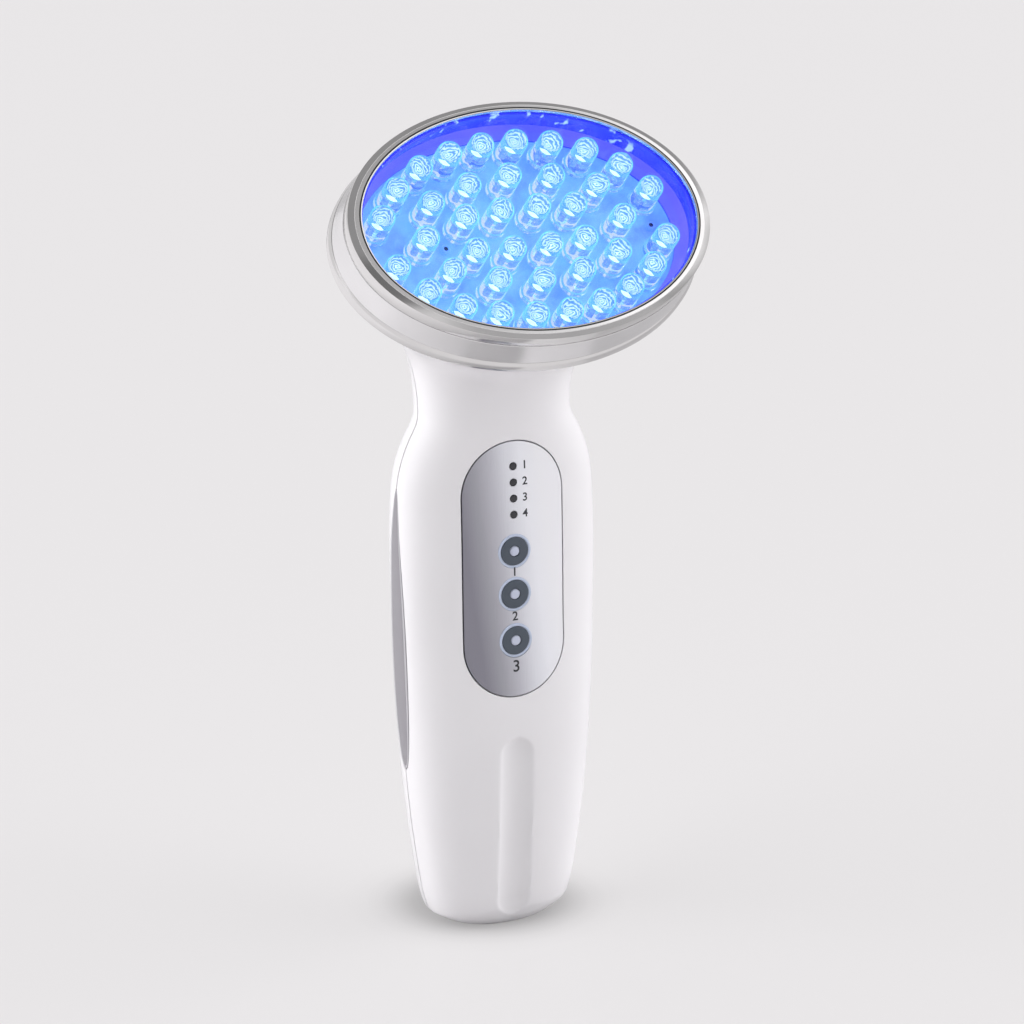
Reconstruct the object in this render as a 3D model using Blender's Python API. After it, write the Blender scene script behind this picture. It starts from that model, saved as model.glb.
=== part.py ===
"""Handheld light therapy wand: a tilted oval lamp head on an upright oval handle.

The origin is at the middle of the base, on the surface that the wand stands on. +Z is up, the
control panel and the lamps face -Y, and +X is the viewer's right. All sizes are in metres.
"""

import math

import bmesh
import bpy
from mathutils import Matrix, Vector

# Clearances
FIT_GAP = 0.0003
SLIM_GAP = 0.0002
OVERRUN = 0.0010
EMBED = 0.0008

# Housing of the handle, as two moulded half shells
NECK_HEIGHT = 0.1083
GRIP_HALF_WIDTH = 0.0213
GRIP_FRONT_DEPTH = 0.0113
GRIP_BACK_DEPTH = 0.0124
HOUSING_WALL = 0.0020
SECTION_POWER = 2.5
HOUSING_SEGMENTS = 28

# Handle sections from the base to the neck: height, half width, front depth, back depth
HANDLE_SECTION_SHARES = (
    (0.000, 0.376, 0.531, 0.484),
    (0.004, 0.459, 0.586, 0.541),
    (0.010, 0.531, 0.633, 0.589),
    (0.018, 0.608, 0.684, 0.641),
    (0.028, 0.685, 0.735, 0.694),
    (0.037, 0.709, 0.774, 0.726),
    (0.050, 0.732, 0.796, 0.746),
    (0.072, 0.761, 0.827, 0.774),
    (0.144, 0.820, 0.885, 0.830),
    (0.223, 0.873, 0.938, 0.887),
    (0.303, 0.913, 0.980, 0.930),
    (0.386, 0.945, 1.000, 0.968),
    (0.497, 0.975, 0.985, 0.992),
    (0.617, 0.992, 0.935, 1.000),
    (0.746, 1.000, 0.918, 1.000),
    (0.848, 0.981, 0.895, 0.985),
    (0.887, 0.953, 0.886, 0.955),
    (0.916, 0.910, 0.870, 0.905),
    (0.945, 0.850, 0.850, 0.850),
    (0.968, 0.787, 0.835, 0.800),
    (0.986, 0.755, 0.830, 0.775),
    (1.000, 0.751, 0.830, 0.770),
)

# Oval head, tilted back from the vertical
HEAD_FACE_ANGLE = math.radians(42.0)
HEAD_FORWARD = 0.0194
HEAD_RISE = 0.0417
HEAD_HEIGHT = NECK_HEIGHT + HEAD_RISE
OPENING_HALF_WIDTH = 0.0348
OPENING_HALF_HEIGHT = 0.0239
RIM_SIDE_BREADTH = 0.0029
RIM_END_BREADTH = 0.0022
RIM_HALF_WIDTH = OPENING_HALF_WIDTH + RIM_SIDE_BREADTH
RIM_HALF_HEIGHT = OPENING_HALF_HEIGHT + RIM_END_BREADTH
HEAD_SEGMENTS = 32

# Front rim, side band and rear rim, as depths behind the face
FRONT_RIM_DEPTH = 0.0036
FRONT_LIP_DEPTH = 0.0010
BAND_SEAT_DEPTH = 0.0092
BAND_DEPTH = 0.0121
BAND_SPIGOT_LENGTH = 0.0015
BAND_SPIGOT_INSET = 0.0013
BAND_FLANGE_THICKNESS = 0.0010
REAR_RIM_WIDTH = 0.0028
REAR_RIM_THICKNESS = 0.0012
RIM_EDGE_ROUND = 0.0006
RIM_REBATE_SHARE = 0.42
RIM_CROWN_SHARE = 0.45
RIM_SHOULDER_SHARE = 0.85
BAND_SHARE = 0.80

# Neck flare that joins the handle to the head, as shares of the way between them
FLARE_RISE_SHARE = 1.70
FLARE_REACH_SHARE = 0.50
FLARE_STEPS = 8

# Window, light chamber and lamp board
WINDOW_RECESS = 0.0001
WINDOW_THICKNESS = 0.0008
CHAMBER_WALL = 0.0009
CHAMBER_LIP = 0.0006
CHAMBER_LEDGE_DEPTH = 0.0054
CHAMBER_LEDGE_WIDTH = 0.0015
LAMP_TIP_DEPTH = 0.0012
BOARD_THICKNESS = 0.0016

# Clear lamps, 5 mm size
LAMP_RADIUS = 0.0025
LAMP_FLANGE_RADIUS = 0.0029
LAMP_FLANGE_HEIGHT = 0.0010
LAMP_HEIGHT = 0.0086
LAMP_SEGMENTS = 8

# Lamp places on the face, one quarter of each oval: shares of the opening across and up
LAMP_SHARES = (
    (0.104, 0.786), (0.311, 0.739), (0.509, 0.640), (0.687, 0.468), (0.822, 0.227),
    (0.000, 0.485), (0.257, 0.438), (0.506, 0.310), (0.602, 0.000),
    (0.113, 0.177), (0.332, 0.156),
)
BOARD_SCREW_SHARES = ((-0.437, 0.000), (0.830, 0.000))
BOARD_SCREW_RADIUS = 0.0006
BOARD_SCREW_HEAD_RADIUS = 0.0010
BOARD_SCREW_HEAD_HEIGHT = 0.0006
BOARD_SCREW_LENGTH = 0.0030

# Control panel, a strip with round ends
PANEL_DROP = 0.0057
PANEL_LENGTH = 0.0524
PANEL_HIGH = NECK_HEIGHT - PANEL_DROP
PANEL_LOW = PANEL_HIGH - PANEL_LENGTH
PANEL_WIDTH_SHARE = 0.507
PANEL_HALF_WIDTH = GRIP_HALF_WIDTH * PANEL_WIDTH_SHARE
PANEL_THICKNESS = 0.0008
PANEL_ARC_STEPS = 8

# Buttons, from the top: two mode buttons and the power button
POWER_BUTTON_RISE = 0.0115
MODE_BUTTON_PITCH = 0.0096
TOP_BUTTON_PITCH = 0.0089
POWER_BUTTON_HEIGHT = PANEL_LOW + POWER_BUTTON_RISE
BUTTON_HEIGHTS = {
    "mode_button_1": POWER_BUTTON_HEIGHT + MODE_BUTTON_PITCH + TOP_BUTTON_PITCH,
    "mode_button_2": POWER_BUTTON_HEIGHT + MODE_BUTTON_PITCH,
    "power_button": POWER_BUTTON_HEIGHT,
}
BUTTON_RADIUS = 0.00275
BUTTON_PROUD = 0.00025
BUTTON_TRAVEL = 0.0004
BUTTON_FLANGE_RADIUS = 0.0037
BUTTON_FLANGE_THICKNESS = 0.0006
BUTTON_STEM_RADIUS = 0.0014
BUTTON_EDGE_ROUND = 0.00025
BUTTON_DOT_RADIUS = 0.00105
BUTTON_DOT_THICKNESS = 0.0005
COLLAR_WALL = 0.0004
BUTTON_SEGMENTS = 14

# Indicator lenses
INDICATOR_DROP = 0.0050
INDICATOR_TOP = PANEL_HIGH - INDICATOR_DROP
INDICATOR_PITCH = 0.0033
INDICATOR_COUNT = 4
INDICATOR_RADIUS = 0.00073
INDICATOR_SEGMENTS = 10

# Control board with its switches, keypad and chips
BOARD_FRONT_Y = -0.0033
CONTROL_BOARD_MARGIN = 0.0030
CONTROL_BOARD_DROP = 0.0045
CONTROL_BOARD_LOW = POWER_BUTTON_HEIGHT - CONTROL_BOARD_MARGIN
CONTROL_BOARD_HIGH = NECK_HEIGHT - CONTROL_BOARD_DROP
CONTROL_BOARD_SIDE_GAP = 0.0063
CONTROL_BOARD_HALF_WIDTH = GRIP_HALF_WIDTH - CONTROL_BOARD_SIDE_GAP
CONTROL_BOARD_THICKNESS = 0.0012
BOARD_CORNER = 0.0020
BOARD_POST_RADIUS = 0.0018
BOARD_POST_SIDE = 0.0028
BOARD_POST_ACROSS = CONTROL_BOARD_HALF_WIDTH - BOARD_POST_SIDE
BOARD_POST_END = 0.0070
BOARD_POST_HEIGHTS = (CONTROL_BOARD_LOW + BOARD_POST_END, CONTROL_BOARD_HIGH - BOARD_POST_END)
SWITCH_WIDTH = 0.0056
SWITCH_HEIGHT = 0.0018
SWITCH_PLUNGER_RADIUS = 0.0016
SWITCH_PLUNGER_HEIGHT = 0.0006
KEYPAD_THICKNESS = 0.0006
KEYPAD_HALF_WIDTH = 0.0080
KEYPAD_MARGIN = 0.0036
CHIP_HEIGHT = 0.0011
CONTROLLER_HALF_WIDTH = 0.0040
DRIVER_HALF_WIDTH = 0.0025
COIL_RADIUS = 0.0028
COIL_HEIGHT = 0.0030
INDICATOR_CHIP_HALF_WIDTH = 0.0008

# Screws that close the housing
SHELL_SCREW_RADIUS = 0.0010
SHELL_SCREW_HEAD_RADIUS = 0.0019
SHELL_SCREW_HEAD_HEIGHT = 0.0012
SHELL_SCREW_SINK = 0.0010
SHELL_BOSS_RADIUS = 0.0022
SHELL_SCREW_REACH = 0.0045
LOWER_SCREW_SHARE = 0.470
LOWER_SCREW_ACROSS = GRIP_HALF_WIDTH * LOWER_SCREW_SHARE
LOWER_SCREW_HEIGHT = 0.0084
UPPER_SCREW_SHARE = 0.413
UPPER_SCREW_ACROSS = GRIP_HALF_WIDTH * UPPER_SCREW_SHARE
SCREW_SEGMENTS = 8

# Rechargeable cells in their cradle
CELL_RADIUS = 0.00525
CELL_TERMINAL_RADIUS = 0.0019
CELL_TERMINAL_HEIGHT = 0.0008
CELL_LOW = 0.0143
CELL_BOARD_GAP = 0.0007
CELL_DEPTH_Y = 0.0006
CRADLE_WALL = 0.0009
CRADLE_OPEN_Y = -0.0010
CONTACT_THICKNESS = 0.0003
CELL_SEGMENTS = 16
RIB_HALF_WIDTH = 0.0045
RIB_THICKNESS = 0.0012
RIB_HEIGHT_SHARES = (0.27, 0.77)

# Charging socket low on the back
SOCKET_HEIGHT = 0.0094
SOCKET_RADIUS = 0.0028
SOCKET_LENGTH = 0.0070
SOCKET_BORE_RADIUS = 0.0018
SOCKET_BORE_DEPTH = 0.0055
SOCKET_PIN_RADIUS = 0.00065
SOCKET_RECESS = 0.0003
SOCKET_SEGMENTS = 14

# Side grips, long leaves let into both sides over the seam
PAD_DROP = 0.0153
PAD_LENGTH = 0.0587
PAD_HIGH = NECK_HEIGHT - PAD_DROP
PAD_LOW = PAD_HIGH - PAD_LENGTH
PAD_HALF_WIDTH = 0.0031
PAD_THICKNESS = 0.0011
PAD_STEPS = 9
PAD_FULLNESS_POWER = 0.7
PAD_TIP_POWER = 0.6

# Finger groove low on the front
GROOVE_HALF_WIDTH = 0.0036
GROOVE_DEPTH = 0.0011
GROOVE_LOW = 0.0068
GROOVE_PANEL_GAP = 0.0089
GROOVE_HIGH = PANEL_LOW - GROOVE_PANEL_GAP
GROOVE_SEGMENTS = 12
GROOVE_LIFT = 0.0003

# Wires
WIRE_RADIUS = 0.0006
WIRE_HALF_SPACING = 0.0012
LAMP_WIRE_HALF_SPACING = 0.0020
WIRE_STEPS = 12
WIRE_BEND = 0.0075

SIDES = {"left": -1, "right": 1}
UP = Vector((0, 0, 1))
HEAD_NORMAL = Vector((0, -math.cos(HEAD_FACE_ANGLE), math.sin(HEAD_FACE_ANGLE)))
HEAD_UP = Vector((0, math.sin(HEAD_FACE_ANGLE), math.cos(HEAD_FACE_ANGLE)))
HEAD_CENTRE = Vector((0, -HEAD_FORWARD, HEAD_HEIGHT))
HEAD_FRAME = Matrix.Translation(HEAD_CENTRE) @ Matrix.Rotation(math.pi / 2 - HEAD_FACE_ANGLE, 4, "X")
TOWARDS_BACK = Matrix.Rotation(-math.pi / 2, 4, "X")

# Depths on the head that follow from the sizes above
FLARE_END_DEPTH = BAND_DEPTH + FIT_GAP
BOARD_FRONT_DEPTH = LAMP_TIP_DEPTH + LAMP_HEIGHT
BOARD_BACK_DEPTH = BOARD_FRONT_DEPTH + BOARD_THICKNESS
CHAMBER_FRONT_DEPTH = WINDOW_RECESS + WINDOW_THICKNESS + SLIM_GAP
CHAMBER_BACK_DEPTH = BOARD_FRONT_DEPTH - SLIM_GAP

# Places behind the panel that follow from the board's place
SWITCH_BACK_Y = BOARD_FRONT_Y - SLIM_GAP
SWITCH_FRONT_Y = SWITCH_BACK_Y - SWITCH_HEIGHT
PLUNGER_TIP_Y = SWITCH_FRONT_Y - SWITCH_PLUNGER_HEIGHT
KEYPAD_BACK_Y = PLUNGER_TIP_Y - SLIM_GAP
KEYPAD_FRONT_Y = KEYPAD_BACK_Y - KEYPAD_THICKNESS
BUTTON_END_Y = KEYPAD_FRONT_Y - BUTTON_TRAVEL - SLIM_GAP
BOARD_BACK_Y = BOARD_FRONT_Y + CONTROL_BOARD_THICKNESS
BUTTON_HOLE_RADIUS = BUTTON_RADIUS + SLIM_GAP
COLLAR_RADIUS = BUTTON_HOLE_RADIUS + COLLAR_WALL
CELL_HIGH = CONTROL_BOARD_LOW - CELL_BOARD_GAP
CELL_LENGTH = CELL_HIGH - CELL_LOW
CELL_ACROSS = CELL_RADIUS + SLIM_GAP
CRADLE_HOLLOW_RADIUS = CELL_RADIUS + FIT_GAP
CRADLE_RADIUS = CRADLE_HOLLOW_RADIUS + CRADLE_WALL
CRADLE_HOLLOW_LOW = CELL_LOW - CONTACT_THICKNESS - 2 * SLIM_GAP
CRADLE_HOLLOW_HIGH = CELL_HIGH + CELL_TERMINAL_HEIGHT + CONTACT_THICKNESS + 2 * SLIM_GAP
SHELL_SCREW_PLACES = (
    (-LOWER_SCREW_ACROSS, LOWER_SCREW_HEIGHT),
    (LOWER_SCREW_ACROSS, LOWER_SCREW_HEIGHT),
    (-UPPER_SCREW_ACROSS, NECK_HEIGHT),
    (UPPER_SCREW_ACROSS, NECK_HEIGHT),
)


def clear_scene():
    """Remove every object of the open scene."""
    for item in list(bpy.data.objects):
        bpy.data.objects.remove(item, do_unlink=True)


def finish(name, colour, roughness, metallic=0.0, alpha=1.0):
    """Return a Principled material of one colour."""
    material = bpy.data.materials.new(name)
    material.use_nodes = True
    shader = material.node_tree.nodes["Principled BSDF"]
    shader.inputs["Base Color"].default_value = (*colour, 1.0)
    shader.inputs["Roughness"].default_value = roughness
    shader.inputs["Metallic"].default_value = metallic
    shader.inputs["Alpha"].default_value = alpha
    return material


def add_object(name, bm, material=None, frame=None):
    """Turn a bmesh into an object; one without a material is a cutter."""
    bmesh.ops.recalc_face_normals(bm, faces=bm.faces[:])
    mesh = bpy.data.meshes.new(name)
    bm.to_mesh(mesh)
    bm.free()
    item = bpy.data.objects.new(name, mesh)
    bpy.context.scene.collection.objects.link(item)
    if frame is not None:
        item.matrix_world = frame
    if material is None:
        item.hide_render = True
        item.display_type = "WIRE"
    else:
        mesh.materials.append(material)
        mesh.shade_smooth()
        mesh.set_sharp_from_angle(angle=math.radians(35))
    return item


def combine(target, other, operation):
    """Add a live Boolean of another object to the target."""
    boolean = target.modifiers.new(other.name, "BOOLEAN")
    boolean.operation = operation
    boolean.solver = "EXACT"
    boolean.object = other


def cut(target, other):
    combine(target, other, "DIFFERENCE")


def fuse(target, other):
    combine(target, other, "UNION")


def keep_inside(target, other):
    combine(target, other, "INTERSECT")


def add_loops(bm, loops, ring=False):
    """Skin a stack of point loops, with flat end caps or, on a ring, back to the first loop."""
    rows = [[bm.verts.new(point) for point in loop] for loop in loops]
    pairs = list(zip(rows, rows[1:]))
    if ring:
        pairs.append((rows[-1], rows[0]))
    else:
        bm.faces.new(rows[0])
        bm.faces.new(rows[-1])
    for low, high in pairs:
        count = len(low)
        for index in range(count):
            after = (index + 1) % count
            bm.faces.new((low[index], low[after], high[after], high[index]))


def lofted(name, loops, material=None, frame=None, ring=False):
    """Make one solid from a stack of loops."""
    bm = bmesh.new()
    add_loops(bm, loops, ring)
    return add_object(name, bm, material, frame)


def add_prism(bm, outline, low, high):
    """Add a prism on a flat outline, between two levels of local Z."""
    add_loops(bm, [[(x, y, level) for x, y in outline] for level in (low, high)])


def add_turned(bm, profile, segments, centre=(0, 0)):
    """Add a turned solid: profile points are (radius, level), and the axis is local Z."""
    rows = []
    for radius, level in profile:
        if radius == 0:
            rows.append([bm.verts.new((*centre, level))])
            continue
        row = []
        for step in range(segments):
            angle = (step + 0.5) / segments * math.tau
            row.append(bm.verts.new((centre[0] + radius * math.cos(angle),
                                     centre[1] + radius * math.sin(angle), level)))
        rows.append(row)
    for end in (rows[0], rows[-1]):
        if len(end) > 1:
            bm.faces.new(end)
    for low, high in zip(rows, rows[1:]):
        for step in range(segments):
            after = (step + 1) % segments
            corners = [low[step % len(low)], low[after % len(low)],
                       high[after % len(high)], high[step % len(high)]]
            bm.faces.new(list(dict.fromkeys(corners)))


def turned(name, profile, segments, material=None, frame=None):
    """Make one turned solid."""
    bm = bmesh.new()
    add_turned(bm, profile, segments)
    return add_object(name, bm, material, frame)


def rod_profile(radius, low, high):
    """Profile of a plain rod."""
    return [(radius, low), (radius, high)]


def add_box(bm, low, high):
    """Add a box between two corners."""
    corners = [(low[0], low[1]), (high[0], low[1]), (high[0], high[1]), (low[0], high[1])]
    add_prism(bm, corners, low[2], high[2])


def box(name, low, high, material=None):
    """Make one box between two corners."""
    bm = bmesh.new()
    add_box(bm, low, high)
    return add_object(name, bm, material)


def stadium(half_width, half_length, steps, centre=(0, 0)):
    """Outline of a strip with round ends that is longer along its second axis."""
    straight = half_length - half_width
    points = []
    for end, start in ((1, 0.0), (-1, math.pi)):
        for step in range(steps + 1):
            angle = start + step / steps * math.pi
            points.append((centre[0] + half_width * math.cos(angle),
                           centre[1] + end * straight + half_width * math.sin(angle)))
    return points


def rounded_rectangle(half_width, low, high, corner, steps=3):
    """Outline of a rectangle with rounded corners, centred across."""
    points = []
    places = ((1, high, 0.0), (-1, high, math.pi / 2), (-1, low, math.pi), (1, low, 1.5 * math.pi))
    for side, level, start in places:
        inward = -corner if level == high else corner
        for step in range(steps + 1):
            angle = start + step / steps * math.pi / 2
            points.append((side * (half_width - corner) + corner * math.cos(angle),
                           level + inward + corner * math.sin(angle)))
    return points


def turned_about_y(centre_x, centre_y, centre_z):
    """Frame whose local Z runs towards the back (+Y), at a point."""
    return Matrix.Translation((centre_x, centre_y, centre_z)) @ TOWARDS_BACK


def face_prism(name, outline, front, back, material=None):
    """Make a prism whose outline is seen from the front, between two places along Y."""
    bm = bmesh.new()
    add_loops(bm, [[(x, y, z) for x, z in outline] for y in (front, back)])
    return add_object(name, bm, material)


def section_at(height):
    """Half width, front depth and back depth of the handle at a height."""
    share = min(max(height / NECK_HEIGHT, 0), 1)
    for low, high in zip(HANDLE_SECTION_SHARES, HANDLE_SECTION_SHARES[1:]):
        if share <= high[0]:
            part = (share - low[0]) / (high[0] - low[0])
            width, front, back = (a + part * (b - a) for a, b in zip(low[1:], high[1:]))
            return width * GRIP_HALF_WIDTH, front * GRIP_FRONT_DEPTH, back * GRIP_BACK_DEPTH
    return GRIP_HALF_WIDTH, GRIP_FRONT_DEPTH, GRIP_BACK_DEPTH


def surface_y(across, height, side, inset=0.0):
    """Place along Y of the housing's surface; side is -1 for the front and 1 for the back."""
    half_width, front, back = section_at(height)
    depth = (front if side < 0 else back) - inset
    share = min(abs(across) / (half_width - inset), 1)
    return side * depth * (1 - share ** SECTION_POWER) ** (1 / SECTION_POWER)


def oval_point(angle, half_width, front, back, power):
    """Point of an oval with its own front and back depth."""
    across = math.copysign(abs(math.cos(angle)) ** (2 / power), math.cos(angle)) * half_width
    depth = back if math.sin(angle) > 0 else front
    along = math.copysign(abs(math.sin(angle)) ** (2 / power), math.sin(angle)) * depth
    return across, along


def flare_point(start, end, part):
    """Point part of the way along a smooth line that leaves the neck upwards and meets the head squarely."""
    length = (end - start).length
    rise = UP * length * FLARE_RISE_SHARE
    reach = HEAD_NORMAL * length * FLARE_REACH_SHARE
    return (start * (2 * part ** 3 - 3 * part ** 2 + 1) + rise * (part ** 3 - 2 * part ** 2 + part)
            + end * (3 * part ** 2 - 2 * part ** 3) + reach * (part ** 3 - part ** 2))


def housing_loops(inset=0.0, overrun=0.0):
    """Loops of the housing from the base up to the head, drawn in by an inset."""
    angles = [step / HOUSING_SEGMENTS * math.tau for step in range(HOUSING_SEGMENTS)]
    loops = []
    for height, width, front, back in HANDLE_SECTION_SHARES:
        level = inset + height * (NECK_HEIGHT - inset)
        sizes = (width * GRIP_HALF_WIDTH - inset, front * GRIP_FRONT_DEPTH - inset,
                 back * GRIP_BACK_DEPTH - inset)
        points = [oval_point(angle, *sizes, SECTION_POWER) for angle in angles]
        loops.append([Vector((x, y, level)) for x, y in points])
    neck = loops[-1]
    end_centre = HEAD_CENTRE - HEAD_NORMAL * FLARE_END_DEPTH
    end_width = RIM_HALF_WIDTH - FIT_GAP - inset
    end_height = RIM_HALF_HEIGHT - FIT_GAP - inset
    mouth = [end_centre + Vector((end_width * math.cos(angle), 0, 0))
             + HEAD_UP * end_height * math.sin(angle) for angle in angles]
    for step in range(1, FLARE_STEPS + 1):
        part = step / FLARE_STEPS
        loops.append([flare_point(start, end, part) for start, end in zip(neck, mouth)])
    if overrun:
        loops[-1] = [point + HEAD_NORMAL * overrun for point in mouth]
    return loops


def housing_solid(name, inset=0.0, overrun=0.0):
    """Make a closed solid of the housing's outer form, drawn in by an inset."""
    return lofted(name, housing_loops(inset, overrun))


def head_oval(share, offset=0.0):
    """Half width and half height of an oval between the opening (0) and the rim's edge (1)."""
    return (OPENING_HALF_WIDTH + share * (RIM_HALF_WIDTH - OPENING_HALF_WIDTH) + offset,
            OPENING_HALF_HEIGHT + share * (RIM_HALF_HEIGHT - OPENING_HALF_HEIGHT) + offset)


def oval_loop(sizes, depth, segments=HEAD_SEGMENTS):
    """Loop of an oval in the head's own frame, at a depth behind the face."""
    points = []
    for step in range(segments):
        angle = step / segments * math.tau
        points.append((sizes[0] * math.cos(angle), sizes[1] * math.sin(angle), -depth))
    return points


def round_loop(radius, level):
    """Loop of a button's ring at a level of local Z."""
    points = []
    for step in range(BUTTON_SEGMENTS):
        angle = (step + 0.5) / BUTTON_SEGMENTS * math.tau
        points.append((radius * math.cos(angle), radius * math.sin(angle), level))
    return points


def oval_ring(name, profile, material):
    """Make a ring on the head from profile points of (share, offset, depth)."""
    loops = [oval_loop(head_oval(share, offset), depth) for share, offset, depth in profile]
    return lofted(name, loops, material, HEAD_FRAME, ring=True)


def make_front_rim(material):
    """Bright rim round the opening, with a rebate behind its lip."""
    deep = FRONT_RIM_DEPTH
    profile = [
        (0, 0, FRONT_LIP_DEPTH), (0, 0, WINDOW_RECESS), (0, RIM_EDGE_ROUND / 2, 0),
        (RIM_CROWN_SHARE, 0, 0), (RIM_SHOULDER_SHARE, 0, RIM_EDGE_ROUND), (1, 0, 2 * RIM_EDGE_ROUND),
        (1, 0, deep - RIM_EDGE_ROUND / 2), (1, -RIM_EDGE_ROUND / 2, deep),
        (RIM_REBATE_SHARE, 0, deep), (RIM_REBATE_SHARE, 0, FRONT_LIP_DEPTH),
    ]
    return oval_ring("front_rim", profile, material)


def make_head_band(material):
    """Side band, with a seat for the rear rim, a flange for the lamp board and a spigot."""
    start = FRONT_RIM_DEPTH + FIT_GAP
    flange_front = BOARD_BACK_DEPTH + SLIM_GAP
    flange_back = flange_front + BAND_FLANGE_THICKNESS
    spigot_back = BAND_DEPTH + BAND_SPIGOT_LENGTH
    spigot_inset = -(HOUSING_WALL + BAND_SPIGOT_INSET)
    profile = [
        (RIM_REBATE_SHARE, 0, start), (BAND_SHARE, 0, start),
        (BAND_SHARE, RIM_EDGE_ROUND / 2, BAND_SEAT_DEPTH),
        (BAND_SHARE, 0, BAND_SEAT_DEPTH), (BAND_SHARE, 0, BAND_DEPTH),
        (1, spigot_inset, BAND_DEPTH), (1, spigot_inset, spigot_back),
        (1, spigot_inset - BAND_FLANGE_THICKNESS, spigot_back),
        (1, spigot_inset - BAND_FLANGE_THICKNESS, flange_back),
        (0, -CHAMBER_LEDGE_WIDTH, flange_back), (0, -CHAMBER_LEDGE_WIDTH, flange_front),
        (RIM_REBATE_SHARE, 0, flange_front),
    ]
    return oval_ring("head_band", profile, material)


def make_rear_rim(material):
    """Bright rim round the back of the band."""
    front = BAND_SEAT_DEPTH + FIT_GAP
    back = front + REAR_RIM_WIDTH - FIT_GAP
    inner = FIT_GAP
    outer = FIT_GAP + REAR_RIM_THICKNESS
    profile = [
        (BAND_SHARE, inner, front), (BAND_SHARE, outer - RIM_EDGE_ROUND, front),
        (BAND_SHARE, outer, front + RIM_EDGE_ROUND), (BAND_SHARE, outer, back - RIM_EDGE_ROUND),
        (BAND_SHARE, outer - RIM_EDGE_ROUND, back), (BAND_SHARE, inner, back),
    ]
    return oval_ring("rear_rim", profile, material)


def make_light_chamber(material):
    """Polished wall round the lamps, with a lip under the window and a sloped ledge."""
    outer = (RIM_REBATE_SHARE, -SLIM_GAP)
    inner = (RIM_REBATE_SHARE, -SLIM_GAP - CHAMBER_WALL)
    lip_back = CHAMBER_FRONT_DEPTH + CHAMBER_LIP
    profile = [
        (0, -CHAMBER_LIP, CHAMBER_FRONT_DEPTH), (0, -SLIM_GAP, CHAMBER_FRONT_DEPTH),
        (0, -SLIM_GAP, FRONT_LIP_DEPTH + SLIM_GAP), (*outer, FRONT_LIP_DEPTH + SLIM_GAP),
        (*outer, CHAMBER_BACK_DEPTH), (0, -CHAMBER_LEDGE_WIDTH, CHAMBER_BACK_DEPTH),
        (*inner, CHAMBER_LEDGE_DEPTH), (*inner, lip_back + CHAMBER_LIP), (0, -CHAMBER_LIP, lip_back),
    ]
    return oval_ring("light_chamber", profile, material)


def make_window(material):
    """Clear window inside the rim's lip."""
    sizes = head_oval(0, -SLIM_GAP)
    loops = [oval_loop(sizes, WINDOW_RECESS + WINDOW_THICKNESS), oval_loop(sizes, WINDOW_RECESS)]
    return lofted("window", loops, material, HEAD_FRAME)


def quarter_places(shares):
    """Places on the whole face from the shares of one quarter."""
    places = []
    for across, up in shares:
        for side in ((1, -1) if across else (1,)):
            for half in ((1, -1) if up else (1,)):
                places.append((side * across * OPENING_HALF_WIDTH, half * up * OPENING_HALF_HEIGHT))
    return places


def lamp_profile():
    """Profile of a clear lamp with a flange and a round dome, from inside the board."""
    base = -BOARD_FRONT_DEPTH
    dome = base + LAMP_HEIGHT - LAMP_RADIUS
    slant = math.radians(45)
    return [(LAMP_FLANGE_RADIUS, base - EMBED), (LAMP_FLANGE_RADIUS, base + LAMP_FLANGE_HEIGHT),
            (LAMP_RADIUS, base + LAMP_FLANGE_HEIGHT), (LAMP_RADIUS, dome),
            (LAMP_RADIUS * math.cos(slant), dome + LAMP_RADIUS * math.sin(slant)),
            (0, dome + LAMP_RADIUS)]


def board_screw_places():
    """Places of the lamp board's screws on the face."""
    return [(across * OPENING_HALF_WIDTH, up * OPENING_HALF_HEIGHT) for across, up in BOARD_SCREW_SHARES]


def make_lamp_board(material):
    """Oval board with its screw holes and the clear lamps soldered to it."""
    sizes = head_oval(RIM_REBATE_SHARE, -SLIM_GAP)
    loops = [oval_loop(sizes, BOARD_BACK_DEPTH), oval_loop(sizes, BOARD_FRONT_DEPTH)]
    board = lofted("lamp_board", loops, material, HEAD_FRAME)
    holes = bmesh.new()
    for place in board_screw_places():
        add_turned(holes, rod_profile(BOARD_SCREW_RADIUS + SLIM_GAP, -BOARD_BACK_DEPTH - OVERRUN,
                                      -BOARD_FRONT_DEPTH + OVERRUN), SCREW_SEGMENTS, place)
    cut(board, add_object("lamp_board_holes", holes, None, HEAD_FRAME))
    lamps = bmesh.new()
    for place in quarter_places(LAMP_SHARES):
        add_turned(lamps, lamp_profile(), LAMP_SEGMENTS, place)
    fuse(board, add_object("lamps", lamps, None, HEAD_FRAME))


def make_lamp_board_screws(material):
    """Small screws through the lamp board."""
    under = -BOARD_FRONT_DEPTH + SLIM_GAP
    profile = [(BOARD_SCREW_RADIUS, under - BOARD_SCREW_LENGTH), (BOARD_SCREW_RADIUS, under),
               (BOARD_SCREW_HEAD_RADIUS, under), (BOARD_SCREW_HEAD_RADIUS, under + BOARD_SCREW_HEAD_HEIGHT)]
    for word, (across, up) in zip(SIDES, board_screw_places()):
        frame = HEAD_FRAME @ Matrix.Translation((across, up, 0))
        turned("lamp_board_screw_" + word, profile, SCREW_SEGMENTS, material, frame)


def panel_outline(margin=0.0):
    """Outline of the control panel, grown by a margin."""
    middle = (PANEL_LOW + PANEL_HIGH) / 2
    half_length = (PANEL_HIGH - PANEL_LOW) / 2
    return stadium(PANEL_HALF_WIDTH + margin, half_length + margin, PANEL_ARC_STEPS, (0, middle))


def outer_prism_span():
    """Places along Y of a prism that passes through the whole front wall."""
    return -(GRIP_FRONT_DEPTH + OVERRUN), -GRIP_FRONT_DEPTH / 2


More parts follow.
